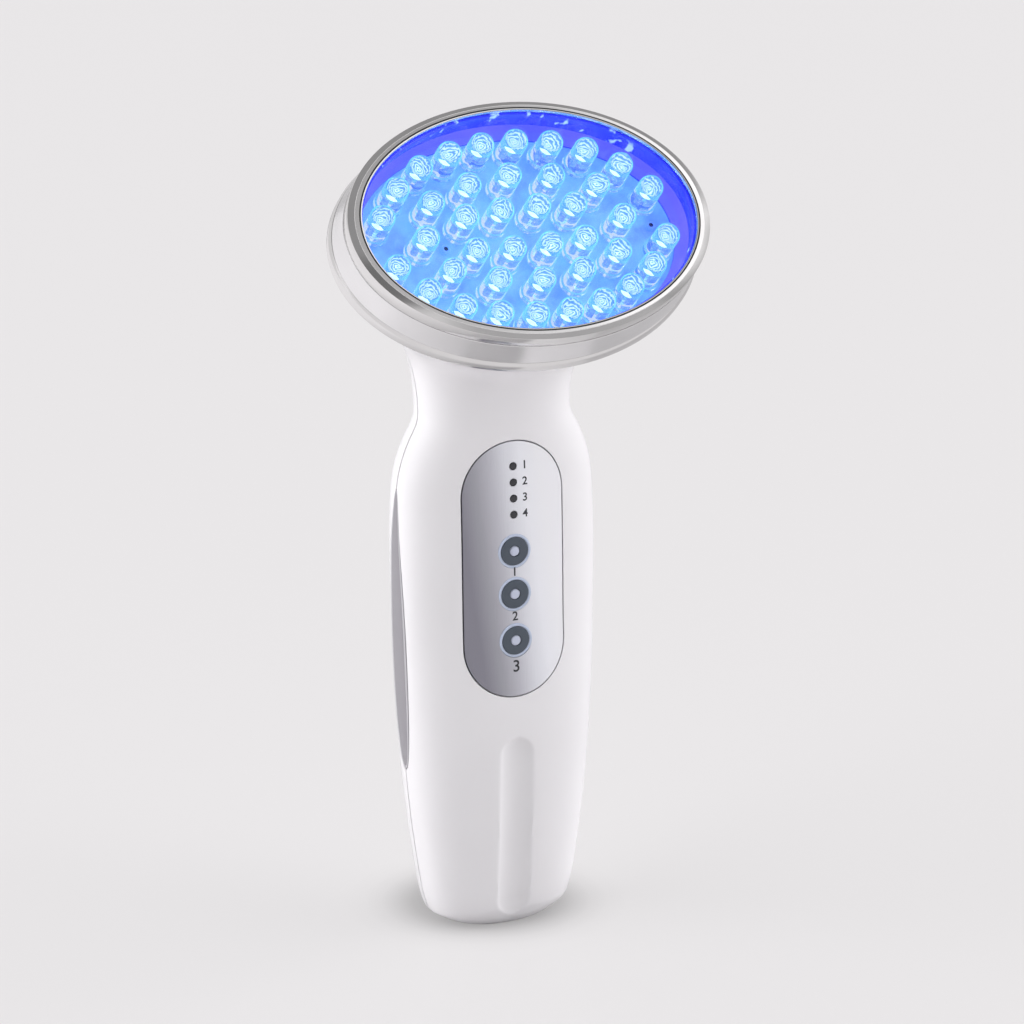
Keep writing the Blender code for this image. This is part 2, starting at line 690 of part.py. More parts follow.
def make_control_panel(material):
    """Panel plate, bent to the front of the housing, with its holes."""
    panel = face_prism("control_panel", panel_outline(), *outer_prism_span(), material)
    keep_inside(panel, housing_solid("panel_outside"))
    cut(panel, housing_solid("panel_inside", PANEL_THICKNESS))
    bm = bmesh.new()
    add_button_holes(bm, COLLAR_RADIUS + SLIM_GAP)
    add_indicator_holes(bm)
    cut(panel, add_object("panel_holes", bm, None, TOWARDS_BACK))
    return panel


def add_button_holes(bm, radius):
    """Add cutters for the three button holes."""
    for height in BUTTON_HEIGHTS.values():
        add_turned(bm, rod_profile(radius, -GRIP_FRONT_DEPTH - OVERRUN, -GRIP_FRONT_DEPTH / 2),
                   BUTTON_SEGMENTS, (0, -height))


def indicator_heights():
    """Heights of the indicator lenses."""
    return [INDICATOR_TOP - step * INDICATOR_PITCH for step in range(INDICATOR_COUNT)]


def add_indicator_holes(bm):
    """Add cutters for the indicator holes."""
    for height in indicator_heights():
        add_turned(bm, rod_profile(INDICATOR_RADIUS + SLIM_GAP, -GRIP_FRONT_DEPTH - OVERRUN,
                                   -GRIP_FRONT_DEPTH / 2), INDICATOR_SEGMENTS, (0, -height))


def board_post_places():
    """Places of the control board's posts, across and up."""
    return [(side * BOARD_POST_ACROSS, height) for height in BOARD_POST_HEIGHTS for side in (-1, 1)]


def pad_outline(margin=0.0):
    """Leaf outline of a side grip, seen from the side: along Y and up."""
    low, high = PAD_LOW - margin, PAD_HIGH + margin
    points = []
    for side in (1, -1):
        for step in range(PAD_STEPS):
            share = (1 - math.cos((step + 0.5) / PAD_STEPS * math.pi)) / 2
            if side < 0:
                share = 1 - share
            full = math.sin(math.pi * share ** PAD_FULLNESS_POWER) ** PAD_TIP_POWER
            points.append((side * full * (PAD_HALF_WIDTH + margin), low + share * (high - low)))
    return points


def pad_prism(name, side, margin=0.0, material=None):
    """Prism of a side grip's outline on one side; side is -1 or 1 along X."""
    inner = side * GRIP_HALF_WIDTH / 2
    outer = side * (GRIP_HALF_WIDTH + OVERRUN)
    bm = bmesh.new()
    add_loops(bm, [[(x, y, z) for y, z in pad_outline(margin)] for x in (inner, outer)])
    return add_object(name, bm, material)


def make_side_grip(name, side, material):
    """Grip pad, bent to the side of the housing."""
    pad = pad_prism(name, side, 0.0, material)
    keep_inside(pad, housing_solid(name + "_outside"))
    cut(pad, housing_solid(name + "_inside", PAD_THICKNESS))
    return pad


def pad_recess(name, side):
    """Cutter for a grip's recess."""
    recess = pad_prism(name, side, FIT_GAP)
    cut(recess, housing_solid(name + "_floor", PAD_THICKNESS + FIT_GAP))
    return recess


def panel_recess(name):
    """Cutter for the panel's recess."""
    recess = face_prism(name, panel_outline(FIT_GAP), *outer_prism_span())
    cut(recess, housing_solid(name + "_floor", PANEL_THICKNESS + FIT_GAP))
    return recess


def finger_groove(name):
    """Cutter for the shallow groove low on the front: a flattened rod with a round end."""
    low_y = surface_y(0, GROOVE_LOW, -1)
    high_y = surface_y(0, GROOVE_HIGH, -1)
    run = Vector((0, high_y - low_y, GROOVE_HIGH - GROOVE_LOW))
    bm = bmesh.new()
    length = run.length - GROOVE_HALF_WIDTH
    profile = [(GROOVE_HALF_WIDTH, -GROOVE_LOW - OVERRUN), (GROOVE_HALF_WIDTH, length)]
    for step in range(1, 5):
        angle = step / 5 * math.pi / 2
        profile.append((GROOVE_HALF_WIDTH * math.cos(angle), length + GROOVE_HALF_WIDTH * math.sin(angle)))
    profile.append((0, length + GROOVE_HALF_WIDTH))
    add_turned(bm, profile, GROOVE_SEGMENTS)
    flatten = Matrix.Scale(GROOVE_DEPTH / GROOVE_HALF_WIDTH, 4, (0, 1, 0))
    bm.transform(flatten)
    lean = UP.rotation_difference(run).to_matrix().to_4x4()
    return add_object(name, bm, None, Matrix.Translation((0, low_y - GROOVE_LIFT, GROOVE_LOW)) @ lean)


def add_rods(bm, radius, places, front, back, segments=SCREW_SEGMENTS):
    """Add rods along Y at places of (across, height), between two surfaces."""
    for across, height in places:
        add_turned(bm, rod_profile(radius, front(across, height), back(across, height)),
                   segments, (across, -height))


def screw_head_y(across, height):
    """Place along Y of the outer face of a housing screw's head."""
    return surface_y(across, height, 1) - SHELL_SCREW_SINK


def add_screw_wells(bm):
    """Add cutters for the back bosses' bores and the wells of the screw heads."""
    bore = SHELL_SCREW_RADIUS + SLIM_GAP
    well = SHELL_SCREW_HEAD_RADIUS + SLIM_GAP
    for across, height in SHELL_SCREW_PLACES:
        floor = screw_head_y(across, height) - SHELL_SCREW_HEAD_HEIGHT - SLIM_GAP
        profile = [(bore, -OVERRUN), (bore, floor), (well, floor), (well, GRIP_BACK_DEPTH + OVERRUN)]
        add_turned(bm, profile, SCREW_SEGMENTS, (across, -height))


def half_space(name, side):
    """Cutter for everything on one side of the seam; side is -1 for the front."""
    reach = 2 * HEAD_HEIGHT
    near, far = side * -FIT_GAP / 2, side * reach
    low = (-reach, min(near, far), -reach)
    high = (reach, max(near, far), reach)
    return box(name, low, high)


def shell_base(name, material, removed_side):
    """Half of the hollow housing, the other half cut away."""
    shell = lofted(name, housing_loops(), material)
    cut(shell, housing_solid(name + "_hollow", HOUSING_WALL, OVERRUN))
    cut(shell, half_space(name + "_seam", removed_side))
    for side, word in ((-1, "left"), (1, "right")):
        cut(shell, pad_recess(name + "_recess_" + word, side))
    return shell


def make_front_shell(material):
    """Front half with the panel recess, the groove, the posts and the holes."""
    shell = shell_base("front_shell", material, 1)
    cut(shell, panel_recess("panel_recess"))
    cut(shell, finger_groove("finger_groove"))
    posts = bmesh.new()
    add_rods(posts, SHELL_BOSS_RADIUS, SHELL_SCREW_PLACES,
             lambda x, z: surface_y(x, z, -1, HOUSING_WALL) - EMBED, lambda x, z: -FIT_GAP)
    add_rods(posts, BOARD_POST_RADIUS, board_post_places(),
             lambda x, z: surface_y(x, z, -1, HOUSING_WALL) - EMBED,
             lambda x, z: BOARD_FRONT_Y - SLIM_GAP)
    fuse(shell, add_object("front_posts", posts, None, TOWARDS_BACK))
    holes = bmesh.new()
    add_button_holes(holes, BUTTON_HOLE_RADIUS)
    add_indicator_holes(holes)
    add_rods(holes, SHELL_SCREW_RADIUS + SLIM_GAP, SHELL_SCREW_PLACES,
             lambda x, z: -SHELL_SCREW_REACH - FIT_GAP, lambda x, z: OVERRUN)
    add_rods(holes, BOARD_SCREW_RADIUS + SLIM_GAP, board_post_places(),
             lambda x, z: BOARD_BACK_Y - BOARD_SCREW_LENGTH - FIT_GAP, lambda x, z: OVERRUN)
    cut(shell, add_object("front_holes", holes, None, TOWARDS_BACK))
    return shell


def make_back_shell(material):
    """Back half with the screw wells, the socket hole and the cradle ribs."""
    shell = shell_base("back_shell", material, -1)
    inside = bmesh.new()
    add_rods(inside, SHELL_BOSS_RADIUS, SHELL_SCREW_PLACES,
             lambda x, z: FIT_GAP, lambda x, z: surface_y(x, z, 1, HOUSING_WALL) + EMBED)
    fuse(shell, add_object("back_bosses", inside, None, TOWARDS_BACK))
    holes = bmesh.new()
    add_screw_wells(holes)
    add_rods(holes, SOCKET_RADIUS + SLIM_GAP, [(0, SOCKET_HEIGHT)],
             lambda x, z: surface_y(x, z, 1) / 2, lambda x, z: GRIP_BACK_DEPTH + OVERRUN,
             SOCKET_SEGMENTS)
    cut(shell, add_object("back_holes", holes, None, TOWARDS_BACK))
    ribs = bmesh.new()
    for share in RIB_HEIGHT_SHARES:
        height = CELL_LOW + share * CELL_LENGTH
        front = CELL_DEPTH_Y + CRADLE_RADIUS + FIT_GAP
        back = surface_y(RIB_HALF_WIDTH, height, 1, HOUSING_WALL) + EMBED
        add_box(ribs, (-RIB_HALF_WIDTH, front, height), (RIB_HALF_WIDTH, back, height + RIB_THICKNESS))
    fuse(shell, add_object("cradle_ribs", ribs))
    return shell


def make_shell_screws(material):
    """Screws that close the housing, heads at the back."""
    for number, (across, height) in enumerate(SHELL_SCREW_PLACES, 1):
        top = screw_head_y(across, height)
        under = top - SHELL_SCREW_HEAD_HEIGHT
        profile = [(SHELL_SCREW_RADIUS, -SHELL_SCREW_REACH), (SHELL_SCREW_RADIUS, under),
                   (SHELL_SCREW_HEAD_RADIUS, under), (SHELL_SCREW_HEAD_RADIUS, top)]
        turned(f"shell_screw_{number}", profile, SCREW_SEGMENTS, material,
               turned_about_y(across, 0, height))


def make_button(name, height, material, dot_material, collar_material):
    """Push button with its flange and stem, the pale dot in its face and the ring round it."""
    surface = surface_y(0, height, -1)
    face = -BUTTON_PROUD
    flange_front = HOUSING_WALL + FIT_GAP
    flange_back = flange_front + BUTTON_FLANGE_THICKNESS
    end = BUTTON_END_Y - surface
    pocket = face + BUTTON_DOT_THICKNESS + SLIM_GAP
    dot_hole = BUTTON_DOT_RADIUS + SLIM_GAP
    profile = [
        (dot_hole, pocket), (dot_hole, face), (BUTTON_RADIUS - BUTTON_EDGE_ROUND, face),
        (BUTTON_RADIUS, face + BUTTON_EDGE_ROUND), (BUTTON_RADIUS, flange_front),
        (BUTTON_FLANGE_RADIUS, flange_front), (BUTTON_FLANGE_RADIUS, flange_back),
        (BUTTON_STEM_RADIUS, flange_back), (BUTTON_STEM_RADIUS, end),
    ]
    frame = turned_about_y(0, surface, height)
    turned(name, profile, BUTTON_SEGMENTS, material, frame)
    dot = rod_profile(BUTTON_DOT_RADIUS, face, face + BUTTON_DOT_THICKNESS)
    turned(name + "_dot", dot, SCREW_SEGMENTS, dot_material, frame)
    rows = [round_loop(radius, level) for radius, level in (
        (BUTTON_HOLE_RADIUS, 0), (COLLAR_RADIUS, 0),
        (COLLAR_RADIUS, PANEL_THICKNESS), (BUTTON_HOLE_RADIUS, PANEL_THICKNESS))]
    lofted(name + "_collar", rows, collar_material, frame, ring=True)


def make_indicators(material):
    """Four lenses that lead light from the board to the panel."""
    end = BOARD_FRONT_Y - CHIP_HEIGHT - SLIM_GAP
    for number, height in enumerate(indicator_heights(), 1):
        profile = rod_profile(INDICATOR_RADIUS, surface_y(0, height, -1), end)
        turned(f"indicator_lens_{number}", profile, INDICATOR_SEGMENTS, material,
               turned_about_y(0, 0, height))


def make_control_board(material):
    """Control board behind the panel, with its screw holes and the indicator chips soldered to it."""
    outline = rounded_rectangle(CONTROL_BOARD_HALF_WIDTH, CONTROL_BOARD_LOW, CONTROL_BOARD_HIGH,
                                BOARD_CORNER)
    board = face_prism("control_board", outline, BOARD_FRONT_Y, BOARD_BACK_Y, material)
    holes = bmesh.new()
    add_rods(holes, BOARD_SCREW_RADIUS + SLIM_GAP, board_post_places(),
             lambda x, z: BOARD_FRONT_Y - OVERRUN, lambda x, z: BOARD_BACK_Y + OVERRUN)
    cut(board, add_object("control_board_holes", holes, None, TOWARDS_BACK))
    chips = bmesh.new()
    half = INDICATOR_CHIP_HALF_WIDTH
    for height in indicator_heights():
        add_box(chips, (-half, BOARD_FRONT_Y - CHIP_HEIGHT, height - half),
                (half, BOARD_FRONT_Y + CONTROL_BOARD_THICKNESS / 2, height + half))
    fuse(board, add_object("indicator_chips", chips))


def make_control_board_screws(material):
    """Screws that hold the control board on its posts."""
    under = BOARD_BACK_Y + SLIM_GAP
    tip = BOARD_BACK_Y - BOARD_SCREW_LENGTH
    profile = [(BOARD_SCREW_RADIUS, tip), (BOARD_SCREW_RADIUS, under),
               (BOARD_SCREW_HEAD_RADIUS, under), (BOARD_SCREW_HEAD_RADIUS, under + BOARD_SCREW_HEAD_HEIGHT)]
    for number, (across, height) in enumerate(board_post_places(), 1):
        turned(f"control_board_screw_{number}", profile, SCREW_SEGMENTS, material,
               turned_about_y(across, 0, height))


def make_switches(material):
    """Tact switches under the buttons, each a square body with a round plunger."""
    half = SWITCH_WIDTH / 2
    plunger = rod_profile(SWITCH_PLUNGER_RADIUS, PLUNGER_TIP_Y, SWITCH_FRONT_Y + SLIM_GAP)
    for number, height in enumerate(BUTTON_HEIGHTS.values(), 1):
        name = f"tact_switch_{number}"
        switch = box(name, (-half, SWITCH_FRONT_Y, height - half), (half, SWITCH_BACK_Y, height + half),
                     material)
        fuse(switch, turned(name + "_plunger", plunger, SCREW_SEGMENTS, None, turned_about_y(0, 0, height)))


def make_keypad(material):
    """Rubber sheet between the buttons and the switches."""
    heights = BUTTON_HEIGHTS.values()
    outline = rounded_rectangle(KEYPAD_HALF_WIDTH, min(heights) - SWITCH_WIDTH / 2,
                                max(heights) + KEYPAD_MARGIN, BOARD_CORNER)
    return face_prism("keypad", outline, KEYPAD_FRONT_Y, KEYPAD_BACK_Y, material)


def make_chips(material):
    """Controller, lamp driver and coil on the back of the control board."""
    back = BOARD_BACK_Y + SLIM_GAP
    middle = (CONTROL_BOARD_LOW + CONTROL_BOARD_HIGH) / 2
    for name, centre, half in (("controller_chip", middle, CONTROLLER_HALF_WIDTH),
                               ("driver_chip", INDICATOR_TOP, DRIVER_HALF_WIDTH)):
        box(name, (-half, back, centre - half), (half, back + CHIP_HEIGHT, centre + half), material)
    frame = turned_about_y(0, back, CONTROL_BOARD_LOW + 2 * COIL_RADIUS)
    turned("driver_coil", rod_profile(COIL_RADIUS, 0, COIL_HEIGHT), SCREW_SEGMENTS, material, frame)


def make_cells(material):
    """Two slim rechargeable cells, side by side."""
    profile = [(CELL_RADIUS, CELL_LOW), (CELL_RADIUS, CELL_HIGH), (CELL_TERMINAL_RADIUS, CELL_HIGH),
               (CELL_TERMINAL_RADIUS, CELL_HIGH + CELL_TERMINAL_HEIGHT)]
    for word, side in SIDES.items():
        frame = Matrix.Translation((side * CELL_ACROSS, CELL_DEPTH_Y, 0))
        turned("battery_cell_" + word, profile, CELL_SEGMENTS, material, frame)


def cradle_stadium(radius):
    """Outline round both cells, seen from above."""
    points = stadium(radius, CELL_ACROSS + radius, CELL_SEGMENTS // 2)
    return [(along, across + CELL_DEPTH_Y) for across, along in points]


def make_cradle(material):
    """Trough that holds the cells, open to the front."""
    bm = bmesh.new()
    add_prism(bm, cradle_stadium(CRADLE_RADIUS), CRADLE_HOLLOW_LOW - CRADLE_WALL,
              CRADLE_HOLLOW_HIGH + CRADLE_WALL)
    cradle = add_object("battery_cradle", bm, material)
    hollow = bmesh.new()
    add_prism(hollow, cradle_stadium(CRADLE_HOLLOW_RADIUS), CRADLE_HOLLOW_LOW, CRADLE_HOLLOW_HIGH)
    cut(cradle, add_object("cradle_hollow", hollow))
    reach = CELL_ACROSS + 2 * CRADLE_RADIUS
    cut(cradle, box("cradle_mouth", (-reach, -reach, 0), (reach, CRADLE_OPEN_Y, NECK_HEIGHT)))
    return cradle


def make_contacts(material):
    """Contact plates at the ends of the cells: one bridge below, two tabs above."""
    reach = CELL_ACROSS + CELL_TERMINAL_RADIUS
    front, back = CELL_DEPTH_Y - CELL_TERMINAL_RADIUS / 2, CELL_DEPTH_Y + CELL_TERMINAL_RADIUS
    low = CELL_LOW - SLIM_GAP - CONTACT_THICKNESS
    box("cell_bridge", (-reach, front, low), (reach, back, low + CONTACT_THICKNESS), material)
    high = CELL_HIGH + CELL_TERMINAL_HEIGHT + SLIM_GAP
    for word, side in SIDES.items():
        ends = sorted((side * (CELL_ACROSS - CELL_TERMINAL_RADIUS), side * reach))
        box("cell_contact_" + word, (ends[0], front, high), (ends[1], back, high + CONTACT_THICKNESS),
            material)


def make_charge_socket(material):
    """Round charging socket with its centre pin."""
    face = surface_y(0, SOCKET_HEIGHT, 1) - SOCKET_RECESS
    floor = face - SOCKET_BORE_DEPTH
    profile = [
        (SOCKET_RADIUS, face - SOCKET_LENGTH), (SOCKET_RADIUS, face), (SOCKET_BORE_RADIUS, face),
        (SOCKET_BORE_RADIUS, floor), (SOCKET_PIN_RADIUS, floor),
        (SOCKET_PIN_RADIUS, face - SOCKET_RADIUS / 2),
    ]
    frame = Matrix.Translation((0, 0, SOCKET_HEIGHT)) @ TOWARDS_BACK
    return turned("charge_socket", profile, SOCKET_SEGMENTS, material, frame)


def smooth_route(points):
    """Evenly parted points of a smooth curve through a wire's few route points."""
    ends = [2 * points[0] - points[1], *points, 2 * points[-1] - points[-2]]
    runs = len(points) - 1
    route = []
    for step in range(WIRE_STEPS + 1):
        place = step / WIRE_STEPS * runs
        index = min(int(place), runs - 1)
        part = place - index
        before, start, end, after = ends[index:index + 4]
        route.append(0.5 * (2 * start + (end - before) * part
                            + (2 * before - 5 * start + 4 * end - after) * part ** 2
                            + (3 * start - before - 3 * end + after) * part ** 3))
    return route


def make_wire(name, route, material):
    """Insulated wire along its route."""
    curve = bpy.data.curves.new(name, "CURVE")
    curve.dimensions = "3D"
    curve.bevel_depth = WIRE_RADIUS
    curve.bevel_resolution = 0
    curve.use_fill_caps = True
    points = smooth_route([Vector(point) for point in route])
    spline = curve.splines.new("POLY")
    spline.points.add(len(points) - 1)
    for point, place in zip(spline.points, points):
        point.co = (*place, 1)
    curve.materials.append(material)
    item = bpy.data.objects.new(name, curve)
    bpy.context.scene.collection.objects.link(item)


def lamp_wire_route(side):
    """Route from the control board up the neck to the back of the lamp board."""
    end = HEAD_CENTRE - HEAD_NORMAL * (BOARD_BACK_DEPTH + FIT_GAP)
    approach = end - HEAD_NORMAL * WIRE_BEND
    start_y = BOARD_BACK_Y - CONTROL_BOARD_THICKNESS / 2
    across = side * LAMP_WIRE_HALF_SPACING
    return [(across, start_y, CONTROL_BOARD_HIGH + FIT_GAP), (across, start_y, NECK_HEIGHT + WIRE_BEND),
            (across, approach.y, approach.z), (across, end.y, end.z)]


def charge_wire_route(side):
    """Route from the charging socket, up in front of the cells, to the control board."""
    start_y = surface_y(0, SOCKET_HEIGHT, 1) - SOCKET_RECESS - SOCKET_LENGTH - FIT_GAP
    channel_y = (surface_y(0, CELL_LOW, -1, HOUSING_WALL) + CELL_DEPTH_Y - CELL_RADIUS) / 2
    end_y = BOARD_FRONT_Y - WIRE_RADIUS
    across = side * WIRE_HALF_SPACING
    return [(across, start_y, SOCKET_HEIGHT), (across, channel_y / 2, SOCKET_HEIGHT - WIRE_RADIUS),
            (across, channel_y, CELL_LOW + SOCKET_RADIUS), (across, channel_y, (CELL_LOW + CELL_HIGH) / 2),
            (across, channel_y, CELL_HIGH - 2 * CELL_RADIUS), (across, end_y, CONTROL_BOARD_LOW - FIT_GAP)]


def battery_wire_route(side):
    """Route from the top of the cradle to the back of the control board."""
    start_y = CELL_DEPTH_Y + WIRE_RADIUS
    start_z = CRADLE_HOLLOW_HIGH + CRADLE_WALL + FIT_GAP
    across = side * CELL_ACROSS
    return [(across, start_y, start_z), (across, start_y, start_z + CELL_RADIUS / 2),
            (across, BOARD_BACK_Y + WIRE_RADIUS, start_z + CELL_RADIUS)]


def build():
    """Build every piece of the wand."""
    clear_scene()
    white = finish("gloss_white_plastic", (0.90, 0.90, 0.91), 0.15)
    bright = finish("bright_plated_metal", (0.80, 0.80, 0.82), 0.08, 1.0)
    silver = finish("pale_silver", (0.78, 0.78, 0.80), 0.25, 0.8)
    brushed = finish("brushed_silver", (0.62, 0.63, 0.67), 0.35, 0.8)
    clear = finish("clear_plastic", (0.95, 0.97, 1.00), 0.05, 0.0, 0.2)
    blue = finish("blue_lit_wall", (0.05, 0.12, 0.90), 0.2)
    light_board = finish("lit_board", (0.35, 0.60, 1.00), 0.5)
    slate = finish("dark_slate", (0.08, 0.10, 0.14), 0.4)
    pale = finish("pale_ring", (0.70, 0.74, 0.82), 0.3)
    grey = finish("grey_rubber", (0.40, 0.40, 0.42), 0.6)
    dark = finish("dark_plastic", (0.04, 0.04, 0.05), 0.4)
    green = finish("green_board", (0.03, 0.22, 0.10), 0.5)
    steel = finish("steel", (0.55, 0.55, 0.57), 0.3, 1.0)
    sleeve = finish("cell_sleeve", (0.10, 0.30, 0.55), 0.4)
    wire = finish("wire_cover", (0.60, 0.05, 0.05), 0.5)

    make_front_shell(white)
    make_back_shell(white)
    make_shell_screws(steel)
    make_side_grip("side_grip_left", -1, grey)
    make_side_grip("side_grip_right", 1, grey)

    make_front_rim(bright)
    make_head_band(silver)
    make_rear_rim(bright)
    make_window(clear)
    make_light_chamber(blue)
    make_lamp_board(light_board)
    make_lamp_board_screws(steel)

    make_control_panel(brushed)
    for name, height in BUTTON_HEIGHTS.items():
        make_button(name, height, slate, pale, pale)
    make_indicators(dark)
    make_keypad(grey)
    make_switches(dark)
    make_control_board(green)
    make_control_board_screws(steel)
    make_chips(dark)

    make_cells(sleeve)
    make_cradle(dark)
    make_contacts(steel)
    make_charge_socket(dark)
    for word, side in SIDES.items():
        make_wire("lamp_wire_" + word, lamp_wire_route(side), wire)
        make_wire("charge_wire_" + word, charge_wire_route(side), wire)
        make_wire("battery_wire_" + word, battery_wire_route(side), wire)


build()
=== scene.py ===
import logging
import math
from dataclasses import dataclass, field
from enum import Enum
from typing import Callable, Iterable, Sequence

import bmesh
import bpy
from mathutils import Matrix, Vector


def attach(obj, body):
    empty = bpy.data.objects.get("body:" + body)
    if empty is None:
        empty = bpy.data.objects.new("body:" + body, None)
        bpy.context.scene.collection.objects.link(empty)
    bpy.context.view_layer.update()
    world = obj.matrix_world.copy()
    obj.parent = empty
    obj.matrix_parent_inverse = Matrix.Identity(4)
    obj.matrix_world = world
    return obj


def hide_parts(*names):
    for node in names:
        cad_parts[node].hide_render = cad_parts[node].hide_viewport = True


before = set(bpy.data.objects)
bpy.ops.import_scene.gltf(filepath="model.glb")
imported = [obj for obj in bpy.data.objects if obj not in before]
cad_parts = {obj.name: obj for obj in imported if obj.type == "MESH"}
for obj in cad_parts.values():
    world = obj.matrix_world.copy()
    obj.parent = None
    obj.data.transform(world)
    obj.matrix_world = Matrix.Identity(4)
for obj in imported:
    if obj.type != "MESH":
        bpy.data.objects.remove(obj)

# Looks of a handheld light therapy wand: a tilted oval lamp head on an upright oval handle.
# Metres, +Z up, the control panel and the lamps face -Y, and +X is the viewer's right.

LOG = logging.getLogger("light_wand")
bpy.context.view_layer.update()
Point2 = tuple[float, float]
Colour = tuple[float, float, float]
TOWARDS_BACK = Matrix.Rotation(-math.pi / 2, 4, "X")
OVERRUN = 0.001
MERGE_DISTANCE = 1e-8
OUTLINE_STEPS = 40
BORE_SEGMENTS = 40
SHARP_COLUMNS = 180
BLACK = (0.0, 0.0, 0.0)
NOISE_LOW, NOISE_HIGH = 0.3, 0.7
SHARP_ANGLE = 32.0
MIX_FIRST, MIX_SECOND, MIX_RESULT = 6, 7, 2


class Side(Enum):
    """A side of the wand, as the viewer sees it."""

    LEFT = -1
    RIGHT = 1


class Half(Enum):
    """A half of the moulded housing."""

    FRONT = -1
    BACK = 1


class Carving(Enum):
    """What a short-lived cutter does to the piece that it meets."""

    CUT = "DIFFERENCE"
    FUSE = "UNION"
    KEEP = "INTERSECT"


# Node trees


class NodeTree:
    """A Principled material in the making."""

    def __init__(self, name: str, colour: Colour, roughness: float, metallic: float = 0.0) -> None:
        """Start a material with one Principled shader.

        Args:
            name: Name of the material.
            colour: Linear base colour.
            roughness: Roughness of the surface.
            metallic: 1 for bare metal.
        """
        self.material = bpy.data.materials.new(name)
        self.material.use_nodes = True
        self.nodes = self.material.node_tree.nodes
        self.links = self.material.node_tree.links
        self.shader = self.nodes["Principled BSDF"]
        self.colour = colour
        self.set("Base Color", (*colour, 1.0))
        self.set("Roughness", roughness)
        self.set("Metallic", metallic)

    def set(self, socket: str, value: float | tuple[float, ...]) -> None:
        """Set one of the shader's own sockets."""
        self.shader.inputs[socket].default_value = value

    def add(self, kind: str, **settings: object) -> bpy.types.Node:
        """Add a node.

        Args:
            kind: Node type without its ShaderNode prefix.
            **settings: Properties and, in lower case, input sockets of the node.

        Returns:
            The new node.
        """
        node = self.nodes.new("ShaderNode" + kind)
        for key, value in settings.items():
            if hasattr(node, key):
                setattr(node, key, value)
            else:
                node.inputs[key.replace("_", " ").title()].default_value = value
        return node

    def link(self, source: bpy.types.NodeSocket, node: bpy.types.Node, socket: str | int) -> None:
        """Join an output to a node's input."""
        self.links.new(source, node.inputs[socket])

    def feed(self, source: bpy.types.NodeSocket, socket: str) -> None:
        """Join an output to one of the shader's sockets."""
        self.link(source, self.shader, socket)

    def places(self, scale: tuple[float, float, float] = (1.0, 1.0, 1.0),
               turn: float = 0.0) -> bpy.types.NodeSocket:
        """Object coordinates through a mapping.

        Args:
            scale: Stretch along each axis.
            turn: Turn about X, in radians.

        Returns:
            The mapped vector.
        """
        coordinates = self.add("TexCoord")
        mapping = self.add("Mapping")
        mapping.inputs["Scale"].default_value = scale
        mapping.inputs["Rotation"].default_value = (turn, 0.0, 0.0)
        self.link(coordinates.outputs["Object"], mapping, "Vector")
        return mapping.outputs["Vector"]

    def noise(self, vector: bpy.types.NodeSocket, scale: float, detail: float = 3.0,
              coarse: float = 0.5) -> bpy.types.NodeSocket:
        """Noise value on a vector.

        Args:
            vector: Where the noise is read.
            scale: Cycles for each metre.
            detail: Octaves.
            coarse: How much the fine octaves weigh.

        Returns:
            The noise value, from 0 to 1.
        """
        texture = self.add("TexNoise", scale=scale, detail=detail, roughness=coarse)
        self.link(vector, texture, "Vector")
        return texture.outputs["Fac"]

    def ramp(self, value: bpy.types.NodeSocket,
             stops: Sequence[tuple[float, Colour]]) -> bpy.types.NodeSocket:
        """Colour ramp over a value.

        Args:
            value: What the ramp reads.
            stops: Places from 0 to 1 with their linear colours.

        Returns:
            The ramp's colour.
        """
        node = self.add("ValToRGB")
        elements = node.color_ramp.elements
        while len(elements) < len(stops):
            elements.new(0.5)
        for element, (place, colour) in zip(elements, stops):
            element.position = place
            element.color = (*colour, 1.0)
        self.link(value, node, "Fac")
        return node.outputs["Color"]

    def spread(self, value: bpy.types.NodeSocket, low: float, high: float,
               start: float = NOISE_LOW, end: float = NOISE_HIGH) -> bpy.types.NodeSocket:
        """Map a value from one span to another.

        Args:
            value: What is mapped.
            low: Result at start.
            high: Result at end.
            start: Value that gives low.
            end: Value that gives high.

        Returns:
            The mapped value.
        """
        node = self.add("MapRange")
        node.inputs["From Min"].default_value = start
        node.inputs["From Max"].default_value = end
        node.inputs["To Min"].default_value = low
        node.inputs["To Max"].default_value = high
        self.link(value, node, "Value")
        return node.outputs["Result"]

    def tones(self, value: bpy.types.NodeSocket, amount: float) -> None:
        """Let the base colour vary a little round its own tone.

        Args:
            value: Noise that drives the variation.
            amount: Share that the colour departs either way.
        """
        dark = tuple(max(part * (1 - amount), 0.0) for part in self.colour)
        light = tuple(min(part * (1 + amount), 1.0) for part in self.colour)
        self.feed(self.ramp(value, [(NOISE_LOW, dark), (NOISE_HIGH, light)]), "Base Color")

    def bump(self, height: bpy.types.NodeSocket, strength: float, distance: float) -> None:
        """Feed a height to the shader's normal.

        Args:
            height: The height pattern.
            strength: Share of the bump that shows.
            distance: Height in metres between 0 and 1 of the pattern.
        """
        node = self.add("Bump")
        node.inputs["Strength"].default_value = strength
        node.inputs["Distance"].default_value = distance
        self.link(height, node, "Height")
        self.feed(node.outputs["Normal"], "Normal")


# Finishes


